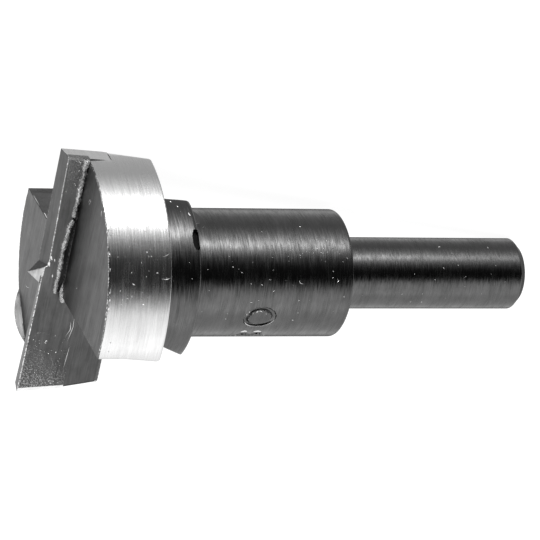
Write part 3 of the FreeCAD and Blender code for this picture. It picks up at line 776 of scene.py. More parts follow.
@dataclass
class CuttingBlade:
    """Hard-metal plate with two relieved wings and a ground centre point."""

    sizes: BitSizes = field(default_factory=BitSizes)
    dip: float = 0.1
    outer_drop: float = 0.35
    inner_drop: float = 0.6
    point_height: float = 1.24
    point_foot: float = 0.2
    point_half_width: float = 1.05
    honed: float = 0.04
    scratches: tuple = (
        Scratch(Carrier.BLADE, -0.9, ((2.47, -8.92), (3.38, -10.91), (4.27, -13.03)), 0.03),
        Scratch(Carrier.BLADE, -0.9, ((4.3, -7.9), (4.75, -6.9), (4.6, -5.8)), 0.06),
        Scratch(Carrier.BLADE, -0.9, ((2.0, -8.5), (2.3, -8.7)), 0.1),
        Scratch(Carrier.BLADE, -0.9, ((3.6, -13.8), (3.9, -14.0)), 0.09),
        Scratch(Carrier.BLADE, -0.9, ((0.78, 2.6), (0.95, 2.0)), 0.2, 0.06),
        Scratch(Carrier.BLADE, -0.9, ((0.72, 1.9), (0.8, 1.2)), 0.22, 0.07),
        Scratch(Carrier.BLADE, -0.9, ((1.2, 2.2), (1.3, 1.8)), 0.1, 0.04),
        Scratch(Carrier.BLADE, -0.9, ((1.35, 0.2), (1.4, -0.2)), 0.12, 0.04),
        Scratch(Carrier.BLADE, -0.9, ((4.9, -5.2), (5.0, -6.6), (4.7, -8.4)), 0.05, 0.04),
        Scratch(Carrier.BLADE, -0.9, ((5.1, -9.0), (5.0, -10.4), (4.9, -12.0)), 0.05, 0.04),
        Scratch(Carrier.BLADE, -0.9, ((0.9, -7.35), (1.9, -7.3), (2.9, -7.85)), 0.05, 0.03),
        Scratch(Carrier.BLADE, -0.9, ((1.5, -9.5), (2.2, -9.65)), 0.11, 0.05),
        Scratch(Carrier.BLADE, -0.9, ((2.9, -9.6), (3.9, -9.5)), 0.05, 0.03),
        Scratch(Carrier.BLADE, -0.9, ((4.2, -9.7), (5.0, -9.6)), 0.06, 0.04))

    def front(self, across: np.ndarray, along: np.ndarray) -> np.ndarray:
        """Station of the plate's front at each place.

        A wing's flank is a plane that falls from the cutting edge to the other side, a little more
        steeply near the middle, and the point is a pyramid over both wings: the nearer of the two shows.
        """
        z = self.sizes
        side = np.where(along >= 0, 1, -1)
        share = np.abs(along) / z.cutter_radius
        drop = self.inner_drop + (self.outer_drop - self.inner_drop) * share
        flank = self.dip * (1 - share) + drop * (z.half_blade - across * side) / (2 * z.half_blade)
        steep = np.maximum(np.abs(along) / self.point_half_width, np.abs(across) / z.half_blade)
        point = (self.point_height + self.point_foot) * steep - self.point_height
        return np.minimum(flank, point)

    def shell(self) -> Shell:
        """The plate: a front worked out place by place, and sides that run down to its foot."""
        z = self.sizes
        half, reach = z.half_blade, z.wing_end
        across = np.r_[-half, -half + self.honed, np.linspace(-half + 0.12, half - 0.12, 27),
                       half - self.honed, half]
        middle = np.arange(-1.3, 1.301, 0.05)
        wing = np.r_[np.arange(1.4, reach - 0.1, 0.09), reach - 0.08, reach - self.honed, reach]
        along = np.r_[-wing[::-1], middle, wing]
        wide, long = np.meshgrid(across, along, indexing="ij")
        height = self.front(wide, long)
        chip = np.maximum(smooth_noise(along, 0.16, 5) * 0.5 + smooth_noise(along, 0.5, 6) - 0.75, 0) * 0.09
        wavy = np.abs(smooth_noise(along, 0.3, 8)) * 0.012
        for row in (0, -1):
            height[row] += self.honed + chip + wavy
        height[:, 0] += self.honed
        height[:, -1] += self.honed
        rows, columns = height.shape
        top = np.stack([height, wide, long], -1).reshape(-1, 3)
        number = np.arange(rows * columns).reshape(rows, columns)
        border = np.r_[number[0], number[1:, -1], number[-1, -2::-1], number[-2:0:-1, 0]]
        rim = top[border]
        shares = np.array([0.012, 0.026, 0.08, 0.3, 0.5, 0.97, 1.0])
        lean = z.end_relief / z.seat / reach
        sides = []
        for share in shares:
            station = rim[:, 0] + (z.seat - rim[:, 0]) * share
            lift = rim[:, 2] * (1 - lean * station)
            sides.append(np.stack([station, rim[:, 1], lift], -1))
        top[:, 2] *= 1 - lean * np.maximum(top[:, 0], 0)
        points = np.concatenate([top] + sides)
        count = len(border)
        at_end = np.abs(rim[:, 2]) > reach - 0.001
        end_side = at_end & np.roll(at_end, -1)
        end_side |= np.abs(rim[:, 2]) > self.sizes.head_radius - 0.05
        side_regions = np.where(end_side, BladeFace.END.value, BladeFace.BROAD.value)
        # painted shade: the end's band on the trailing side takes the broad face's dark finish, standing for a
        # chamfer facet that the shape lacks
        trailing = rim[:, 1] * np.sign(rim[:, 2])
        strip_regions = np.where(at_end & (trailing < -0.3), BladeFace.BROAD.value, side_regions)
        first = rows * columns
        levels = [border] + [first + level * count + np.arange(count) for level in range(len(shares))]
        faces = grid_quads(rows, columns, False).tolist()
        regions = [self.on_point(wide, long)[:-1, :-1].ravel() * BladeFace.POINT.value]
        for level, (upper, lower) in enumerate(zip(levels[:-1], levels[1:])):
            faces += np.stack([upper, np.roll(upper, -1), np.roll(lower, -1), lower], -1).tolist()
            regions.append(strip_regions if level < 5 else side_regions)
        faces.append(levels[-1].tolist())
        regions.append(np.zeros(1, int))
        wear = np.zeros(len(points))
        wear[border] = 1
        wear[number[1]], wear[number[-2]] = 1, 1
        wear[first:first + count] = 1
        # wear on the leading corner; along the band's border at -0.3 the same wear paints the chamfer's bright edge
        # as a highlight
        corner = at_end & ((trailing > half - 0.001) | (np.abs(trailing + 0.3) < 0.05))
        for level in range(5):
            wear[first + level * count + np.flatnonzero(corner)] = 1
        return Shell(points, faces, np.concatenate(regions).astype(int), wear)

    @staticmethod
    def flecks(count: int, seed: int, along: tuple, stations: tuple) -> list[Scratch]:
        """Short scratches strewn over part of the near broad face, closest at its outer end."""
        rng = np.random.default_rng(seed)
        outer, inner = sorted(along, key=abs, reverse=True)
        found = []
        for _ in range(count):
            height = inner + (outer - inner) * math.sqrt(rng.uniform())
            station, way, length = rng.uniform(*stations), rng.uniform(0, math.pi), rng.uniform(0.05, 0.22)
            end = (station + length * math.cos(way), height + length * math.sin(way))
            found.append(Scratch(Carrier.BLADE, -0.9, ((station, height), end), rng.uniform(0.03, 0.07), 0.035))
        return found

    def on_point(self, across: np.ndarray, along: np.ndarray) -> np.ndarray:
        """Where the centre point's facets over the broad faces stand before the wings."""
        steep = np.maximum(np.abs(along) / self.point_half_width, np.abs(across) / self.sizes.half_blade)
        level = (self.point_height + self.point_foot) * steep - self.point_height
        broad_side = np.abs(across) / self.sizes.half_blade >= steep - 1e-6
        return (self.front(across, along) >= level - 1e-6) & broad_side

    def build(self, tool: ToolFrame, materials: list) -> bpy.types.Object:
        """Make the blade in place of its solid."""
        strewn = self.flecks(70, 11, (-14.6, -7.0), (0.5, 5.0)) + self.flecks(26, 12, (10.2, 14.5), (0.8, 2.2))
        shells = [self.shell()] + [scratch.shell(BladeFace.END.value) for scratch in (*self.scratches, *strewn)]
        piece = build_piece("blade", shells, tool, materials)
        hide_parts("cutting_blade")
        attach(piece, "root")
        return piece


@dataclass
class BrazeBead:
    """Solidified braze along the blade's foot on one land."""

    name: str
    node: str
    seed: int
    turned: bool
    sizes: BitSizes = field(default_factory=BitSizes)
    # height along the blade, rise of the rope's middle over the land, its radius, and the fillet's spread
    course: tuple = ((-2.4, 0.75, 0.28, 0.6), (0.0, 0.77, 0.3, 0.8), (3.0, 0.8, 0.3, 0.55),
                     (5.9, 0.7, 0.3, 0.6), (7.4, 0.42, 0.29, 0.4), (11.5, 0.3, 0.28, 0.42),
                     (13.6, 0.3, 0.3, 0.5), (14.3, 0.22, 0.5, 0.4), (14.8, 0.2, 0.52, 0.3))

    def sections(self, start: float, end: float, pitch: float) -> tuple:
        """Places along the blade and the course's numbers there, drawn in at both ends."""
        along = np.linspace(start, end, max(int((end - start) / pitch), 12))[:, None]
        edge = np.minimum((along - start) / 0.3, (end - along) / 0.25)
        taper = np.sqrt(np.clip(edge * (2 - np.minimum(edge, 1)), 0.02, 1))
        heights, rises, radii, spreads = np.array(self.course).T
        return along, taper, *(np.interp(along, heights, values) for values in (rises, radii, spreads))

    def rope(self, start: float, end: float, seed: int) -> Shell:
        """The bright bead: a tube along the blade's face whose radius swells and shrinks in small lumps."""
        z = self.sizes
        along, taper, rise, radius, _ = self.sections(start, end, 0.045)
        angle = np.linspace(0, 2 * math.pi, 19)[None, :-1]
        lumps = 0.93 + 0.16 * smooth_noise(along, 0.24, seed) + 0.12 * smooth_noise(along, 0.9, seed + 1)
        knobs = 1 + 0.13 * smooth_noise(along + 3 * np.cos(angle), 0.17, seed + 2)
        size = radius * taper * lumps * knobs
        sway = 0.05 * smooth_noise(along, 0.8, seed + 3)
        station = z.land - rise + sway + size * np.cos(angle)
        across = -z.half_blade - 0.06 + size * np.sin(angle) * 0.9
        ring = np.stack([station, across, np.broadcast_to(along, across.shape)], -1)
        return closed_loops(ring)

    def fillet(self, start: float, end: float) -> Shell:
        """The dark fillet below the bead: a hollow curve from the blade's face to the land, coloured near black as
        the bead's painted shadow, fading to the land's tone at its foot.
        """
        z = self.sizes
        along, taper, rise, _, spread = self.sections(start, end, 0.12)
        share = np.linspace(0, 1, 13)[None, :]
        foot = spread * taper * (1 - share) ** 1.7
        climb = rise * taper * share ** 2.4
        ring = np.stack([z.land - climb - 0.004, -z.half_blade - foot, np.broadcast_to(along, foot.shape)], -1)
        inner = np.stack([np.full_like(along, z.land + 0.1), np.full_like(along, 0.1 - z.half_blade), along], -1)
        below = ring[:, :1] + np.array([0.1, 0, 0])
        shell = closed_loops(np.concatenate([inner, below, ring], 1), 1)
        # painted shadow: darkest at the bead, fading through the wear channel to the land's tone at the foot
        painted_shadow_fade = np.concatenate([np.ones((len(along), 2)), np.broadcast_to((1 - share) ** 1.2, foot.shape)], 1)
        shell.wear = painted_shadow_fade.ravel()
        return shell

    def drop(self, seed: int) -> Shell:
        """The drop of braze that hangs from the land's corner down the blade's face."""
        z = self.sizes
        polar, turn = np.meshgrid(np.linspace(0.05, math.pi - 0.05, 33), np.linspace(0, 2 * math.pi, 25)[:-1],
                                  indexing="ij")
        lump = 1 + 0.15 * smooth_noise(polar * 3 + np.cos(turn), 0.4, seed)
        along = np.cos(polar) * 1.1
        size = 0.34 * lump * np.sin(polar) * (1 - 0.4 * np.cos(polar))
        station = z.land - 0.02 - along * 0.1 + size * np.cos(turn)
        across = -z.half_blade - 0.42 + along * 0.2 + size * np.sin(turn)
        return closed_loops(np.stack([station, across, along - 1.95], -1))

    def build(self, tool: ToolFrame, materials: list) -> bpy.types.Object:
        """Make the bead in place of its solid, turned half way round for the far land."""
        shells = [self.rope(-2.2, 6.3, self.seed), self.rope(6.15, 7.25, self.seed + 5),
                  self.rope(7.4, 14.72, self.seed + 7), self.fillet(-2.1, 14.6), self.drop(self.seed)]
        if self.turned:
            for shell in shells:
                shell.points = shell.points * np.array([1, -1, -1])
        piece = build_piece(self.name, shells, tool, materials)
        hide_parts(self.node)
        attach(piece, "root")
        return piece


class Graph:
    """A node tree with short words for adding and joining nodes."""

    def __init__(self, tree: bpy.types.NodeTree) -> None:
        """Take the tree to work in."""
        self.tree = tree

    def add(self, kind: str, settings: dict | None = None, inputs: dict | None = None) -> bpy.types.Node:
        """Add a node.

        Args:
            kind: its type, without the leading words ShaderNode.
            settings: its properties by name.
            inputs: its inputs by name or number: a socket is joined, and anything else is its value.

        Returns:
            The node.
        """
        node = self.tree.nodes.new("ShaderNode" + kind)
        for name, value in (settings or {}).items():
            setattr(node, name, value)
        for name, value in (inputs or {}).items():
            if isinstance(value, bpy.types.NodeSocket):
                self.tree.links.new(value, node.inputs[name])
            else:
                node.inputs[name].default_value = value
        return node

    def math(self, operation: str, *values: object) -> bpy.types.NodeSocket:
        """Work out one number from sockets or numbers."""
        return self.add("Math", {"operation": operation}, dict(enumerate(values))).outputs[0]

    def span(self, value: object, low: float, high: float, to_low: float = 0.0,
             to_high: float = 1.0) -> bpy.types.NodeSocket:
        """Carry a value from one range to another, held at its ends."""
        inputs = {"Value": value, "From Min": low, "From Max": high, "To Min": to_low, "To Max": to_high}
        return self.add("MapRange", {"clamp": True}, inputs).outputs[0]

    def noise(self, vector: object, scale: float, detail: float = 3.0, rough: float = 0.55) -> bpy.types.NodeSocket:
        """Cloudy noise between nought and one."""
        inputs = {"Vector": vector, "Scale": scale, "Detail": detail, "Roughness": rough}
        return self.add("TexNoise", None, inputs).outputs[0]

    def vector(self, x: object, y: object, z: object) -> bpy.types.NodeSocket:
        """Three numbers as one vector."""
        return self.add("CombineXYZ", None, {0: x, 1: y, 2: z}).outputs[0]

    def scaled(self, vector: object, scale: object) -> bpy.types.NodeSocket:
        """A vector made longer or shorter."""
        return self.add("VectorMath", {"operation": "SCALE"}, {"Vector": vector, "Scale": scale}).outputs[0]


def new_group(name: str, inputs: dict, outputs: dict) -> tuple[bpy.types.NodeTree, Graph, dict, object]:
    """Start a shader node group with named sockets.

    Args:
        name: name of the group.
        inputs: kind of each input by name, with its value where it has one.
        outputs: kind of each output by name.

    Returns:
        The group, its graph, its input sockets by name and its output node.
    """
    tree = bpy.data.node_groups.new(name, "ShaderNodeTree")
    for word, (kind, value) in inputs.items():
        socket = tree.interface.new_socket(name=word, in_out="INPUT", socket_type=kind)
        if value is not None:
            socket.default_value = value
    for word, kind in outputs.items():
        tree.interface.new_socket(name=word, in_out="OUTPUT", socket_type=kind)
    entry = tree.nodes.new("NodeGroupInput")
    leave = tree.nodes.new("NodeGroupOutput")
    return tree, Graph(tree), {word: entry.outputs[word] for word in inputs}, leave


class Patterns:
    """Node groups that several finishes share."""

    def __init__(self, tool: ToolFrame) -> None:
        """Build each group once."""
        self.tool = tool
        self.place = self.tool_place()
        self.marks = self.fine_marks()
        self.specks = self.scattered_specks()
        self.worn = self.worn_edges_and_painted_light()
        self.sway = self.swayed_normal()

    def tool_place(self) -> bpy.types.NodeTree:
        """Turn a place on the object into millimetres along, round and out from the tool's axis."""
        tree, graph, given, leave = new_group(
            "place_on_tool", {"Object": ("NodeSocketVector", None)},
            {"Local": "NodeSocketVector", "Across": "NodeSocketFloat", "Facing": "NodeSocketVector"})
        mapping = graph.add("Mapping", {"vector_type": "TEXTURE"}, {"Vector": given["Object"]})
        mapping.inputs["Location"].default_value = self.tool.origin.tolist()
        mapping.inputs["Rotation"].default_value = self.tool.matrix().to_euler()
        mapping.inputs["Scale"].default_value = (MM, MM, MM)
        apart = graph.add("SeparateXYZ", None, {0: mapping.outputs[0]}).outputs
        outwards = graph.vector(0.0, apart[1], apart[2])
        radius = graph.add("VectorMath", {"operation": "LENGTH"}, {0: outwards}).outputs["Value"]
        facing = graph.add("VectorMath", {"operation": "NORMALIZE"}, {0: outwards}).outputs[0]
        for word, socket in (("Local", mapping.outputs[0]), ("Across", graph.math("ADD", apart[0], radius)),
                             ("Facing", facing)):
            tree.links.new(socket, leave.inputs[word])
        return tree

    def fine_marks(self) -> bpy.types.NodeTree:
        """Streaks in a space that is stretched along them: their tone, and how they lean round the axis."""
        tree, graph, given, leave = new_group(
            "fine_marks", {"Stretched": ("NodeSocketVector", None)},
            {"Tone": "NodeSocketFloat", "Lean": "NodeSocketFloat"})
        start = given["Stretched"]
        fine = graph.noise(start, 1.0, 4.0, 0.65)
        wide = graph.noise(graph.scaled(start, 0.17), 1.0, 3.0, 0.6)
        moved = graph.add("VectorMath", {"operation": "ADD"}, {0: start, 1: (31.0, 17.0, 5.0)}).outputs[0]
        lean = graph.noise(moved, 1.2, 3.0, 0.75)
        tree.links.new(graph.math("ADD", graph.math("MULTIPLY", fine, 0.6), graph.math("MULTIPLY", wide, 0.4)),
                       leave.inputs["Tone"])
        tree.links.new(graph.math("SUBTRACT", lean, 0.5), leave.inputs["Lean"])
        return tree

    def scattered_specks(self) -> bpy.types.NodeTree:
        """Small pits: dots of uneven size in some cells, more of them in some places."""
        tree, graph, given, leave = new_group(
            "scattered_specks", {"Local": ("NodeSocketVector", None), "Scale": ("NodeSocketFloat", 1.6),
                                 "Threshold": ("NodeSocketFloat", 0.7)}, {"Mask": "NodeSocketFloat"})
        bent = graph.add("VectorMath", {"operation": "ADD"}, {
            0: given["Local"], 1: graph.scaled(graph.add("TexNoise", None, {
                "Vector": given["Local"], "Scale": 6.0}).outputs["Color"], 0.15)}).outputs[0]
        cells = graph.add("TexVoronoi", None, {"Vector": bent, "Scale": given["Scale"]}).outputs
        chance = graph.add("SeparateColor", None, {0: cells["Color"]}).outputs
        crowd = graph.math("MULTIPLY", graph.math("SUBTRACT", graph.noise(given["Local"], 0.35), 0.5), 1.2)
        chosen = graph.math("GREATER_THAN", graph.math("ADD", chance[0], crowd), given["Threshold"])
        size = graph.span(chance[1], 0.0, 1.0, 0.07, 0.19)
        inside = graph.span(graph.math("DIVIDE", cells["Distance"], size), 0.5, 1.0, 1.0, 0.0)
        tree.links.new(graph.math("MULTIPLY", chosen, inside), leave.inputs["Mask"])
        return tree

    def worn_edges_and_painted_light(self) -> bpy.types.NodeTree:
        """Edges rubbed bright, and the painted highlights and painted shadow fade that share the wear attribute: the
        wear of the surface, broken up by noise.
        """
        tree, graph, given, leave = new_group(
            "worn_edges_and_painted_light", {"Local": ("NodeSocketVector", None), "Reach": ("NodeSocketFloat", 0.5)},
            {"Mask": "NodeSocketFloat"})
        wear = graph.add("Attribute", {"attribute_name": "wear"}).outputs["Fac"]
        noise = graph.noise(given["Local"], 4.5, 4.0, 0.7)
        uneven = graph.math("ADD", wear, graph.math("MULTIPLY", graph.math("SUBTRACT", noise, 0.5), 1.1))
        tree.links.new(graph.span(graph.math("SUBTRACT", uneven, given["Reach"]), 0.0, 0.2), leave.inputs["Mask"])
        return tree

    def swayed_normal(self) -> bpy.types.NodeTree:
        """Turn a normal a little round the tool's axis."""
        tree, graph, given, leave = new_group(
            "swayed_normal", {"Normal": ("NodeSocketVector", None), "Amount": ("NodeSocketFloat", 0.0)},
            {"Normal": "NodeSocketVector"})
        aside = graph.add("VectorMath", {"operation": "CROSS_PRODUCT"},
                          {0: self.tool.axes[0].tolist(), 1: given["Normal"]}).outputs[0]
        added = graph.add("VectorMath", {"operation": "ADD"},
                          {0: given["Normal"], 1: graph.scaled(aside, given["Amount"])}).outputs[0]
        tree.links.new(graph.add("VectorMath", {"operation": "NORMALIZE"}, {0: added}).outputs[0],
                       leave.inputs["Normal"])
        return tree


@dataclass(frozen=True)
class MetalFinish:
    """A metal surface: its tones, gloss, marks and worn places. Lengths are in millimetres."""

    name: str
    dark: float
    light: float
    gloss: float
    dull: float
    lay: Lay = Lay.ROUND
    fineness: float = 5.0
    stretch: float = 3.0
    lean: float = 0.0
    speck_scale: float = 1.6
    speck_threshold: float = 0.9
    speck_tone: float = 0.5
    speck_depth: float = 0.03
    edge_reach: float = 0.6
    edge_tone: float = 0.85
    grain: float = 0.0
    grain_scale: float = 6.0
    rough_zone: float = 0.0
    # painted light: how many times lighter the trailing broad faces are coloured
    trailing_painted_light: float = 0.0
    rough_tone: float = 0.5
    speck_rough: float = 0.8

    def stretched(self, graph: Graph, place: bpy.types.bpy_prop_collection) -> bpy.types.NodeSocket:
        """Space stretched along the marks: round the axis, or along the blade."""
        if self.lay is Lay.ROUND:
            across = graph.vector(graph.math("MULTIPLY", place["Across"], self.fineness), 0.0, 0.0)
            turned = graph.scaled(place["Facing"], self.stretch)
            return graph.add("VectorMath", {"operation": "ADD"}, {0: across, 1: turned}).outputs[0]
        scale = (self.fineness, self.fineness, 1 / self.stretch)
        return graph.add("VectorMath", {"operation": "MULTIPLY"}, {0: place["Local"], 1: scale}).outputs[0]

    def rough_places(self, graph: Graph, local: bpy.types.NodeSocket) -> bpy.types.NodeSocket:
        """Where the wings' outer ends are coarse: a share that grows along the blade, in clouds."""
        apart = graph.add("SeparateXYZ", None, {0: local}).outputs
        along = graph.math("MULTIPLY", graph.math("ABSOLUTE", apart[2]), 0.16)
        near_edge = graph.math("SUBTRACT", along, graph.math("MULTIPLY", apart[0], 0.1))
        cloud = graph.noise(local, 0.9, 3.0, 0.6)
        return graph.span(graph.math("ADD", near_edge, cloud), 1.8, 2.5, 0.0, self.rough_zone)

    def build(self, patterns: Patterns) -> bpy.types.Material:
        """Make the material: marks drive tone, gloss and the normal's lean; grain and pits its height."""
        material = bpy.data.materials.new(self.name)
        material.use_nodes = True
        material.node_tree.nodes.clear()
        graph = Graph(material.node_tree)
        where = graph.add("TexCoord").outputs["Object"]
        place = graph.add("Group", {"node_tree": patterns.place}, {"Object": where}).outputs
        local = place["Local"]
        marks = graph.add("Group", {"node_tree": patterns.marks},
                          {"Stretched": self.stretched(graph, place)}).outputs
        grain = graph.noise(local, self.grain_scale, 4.0, 0.65)
        cloud = graph.noise(local, 0.55, 4.0, 0.6)
        mixed = graph.math("ADD", graph.math("MULTIPLY", marks["Tone"], 0.7), graph.math("MULTIPLY", cloud, 0.3))
        tone = graph.span(mixed, 0.36, 0.64, self.dark, self.light)
        # painted light: where Y and Z have opposite signs the tone is raised up to the gain, lighting one side of
        # each wing
        if self.trailing_painted_light:
            apart = graph.add("SeparateXYZ", None, {0: local}).outputs
            side = graph.math("MULTIPLY", apart[1], apart[2])
            tone = graph.math("MULTIPLY", tone, graph.span(side, 2.5, -2.5, 1.0, self.trailing_painted_light))
        rough = graph.span(graph.math("ADD", graph.math("MULTIPLY", marks["Tone"], 0.75),
                                      graph.math("MULTIPLY", cloud, 0.25)), 0.38, 0.62, self.dull, self.gloss)
        specks = graph.add("Group", {"node_tree": patterns.specks},
                           {"Local": local, "Scale": self.speck_scale,
                            "Threshold": self.speck_threshold}).outputs["Mask"]
        edges = graph.add("Group", {"node_tree": patterns.worn},
                          {"Local": local, "Reach": self.edge_reach}).outputs["Mask"]
        tone = self.blend(graph, specks, tone, self.speck_tone)
        rough = self.blend(graph, specks, rough, self.speck_rough)
        tone = self.blend(graph, edges, tone, self.edge_tone)
        rough = self.blend(graph, edges, rough, 0.35)
        height = graph.math("MULTIPLY", grain, self.grain)
        if self.rough_zone:
            coarse = graph.noise(local, 6.5, 3.0, 0.65)
            zone = self.rough_places(graph, local)
            height = graph.math("ADD", height, graph.math("MULTIPLY", coarse, zone))
            lit = graph.math("MULTIPLY", graph.span(coarse, 0.5, 0.62), graph.span(zone, 0.0, self.rough_zone))
            tone = self.blend(graph, lit, tone, self.rough_tone)
        height = graph.math("ADD", height, graph.math("MULTIPLY", specks, -self.speck_depth))
        bump = graph.add("Bump", None, {"Height": height, "Distance": MM, "Strength": 1.0}).outputs[0]
        normal = graph.add("Group", {"node_tree": patterns.sway},
                           {"Normal": bump, "Amount": graph.math("MULTIPLY", marks["Lean"], self.lean)}).outputs[0]
        colour = graph.add("CombineColor", None, {0: tone, 1: tone, 2: tone}).outputs[0]
        metal = graph.add("BsdfPrincipled", None, {"Base Color": colour, "Metallic": 1.0, "Roughness": rough,
                                                   "Normal": normal})
        output = graph.add("OutputMaterial")
        material.node_tree.links.new(metal.outputs[0], output.inputs[0])
        return material

    @staticmethod
    def blend(graph: Graph, mask: bpy.types.NodeSocket, base: bpy.types.NodeSocket,
              other: float) -> bpy.types.NodeSocket:
        """Go from one value to another where a mask says."""
        return graph.add("Mix", {"data_type": "FLOAT"}, {0: mask, 2: base, 3: other}).outputs[0]


@dataclass(frozen=True)
class Viewpoint:
    """Camera that was fitted to the photograph's edges, in the tool's frame."""

    turn: float = 22.388
    distance: float = 470.66
    focal_pixels: float = 4244.64
    height: float = 0.218
    roll: float = 0.2298
    middle_station: float = 27.233
    blade_turn: float = 31.810
    image_pixels: int = 540

    def upright_axes(self) -> np.ndarray:
        """Right, in and up of the photograph's level frame, as directions in the tool's frame."""
        turn = math.radians(self.blade_turn)
        inwards = np.array([0, math.cos(turn), -math.sin(turn)])
        up = np.array([0, math.sin(turn), math.cos(turn)])
        return np.stack([np.array([1.0, 0, 0]), inwards, up])

    def build(self, tool: ToolFrame) -> bpy.types.Object:
        """Place the camera and make it the scene's."""
        frame = self.upright_axes()
        turn, roll = math.radians(self.turn), math.radians(self.roll)
        place = np.array([-math.sin(turn) * self.distance, -math.cos(turn) * self.distance, self.height]) @ frame
        place[0] += self.middle_station
        right, up = np.array([math.cos(turn), -math.sin(turn), 0]), np.array([0, 0, 1.0])
        rolled_right = math.cos(roll) * right + math.sin(roll) * up
        rolled_up = math.cos(roll) * up - math.sin(roll) * right
        axes = np.stack([rolled_right, rolled_up, np.cross(rolled_right, rolled_up)]) @ frame @ tool.axes
        data = bpy.data.cameras.new("photograph")
        data.sensor_width = 36.0
        data.lens = self.focal_pixels / self.image_pixels * data.sensor_width
        data.shift_x = -0.5 / self.image_pixels
        data.shift_y = 0.5 / self.image_pixels
        data.clip_start, data.clip_end = 0.01, 20.0
        camera = bpy.data.objects.new("photograph", data)
        matrix = np.eye(4)
        matrix[:3, :3] = axes.T
        matrix[:3, 3] = tool.place(place[None, :])[0]
        camera.matrix_world = Matrix(matrix.tolist())
        bpy.context.scene.collection.objects.link(camera)
        bpy.context.scene.camera = camera
        return camera


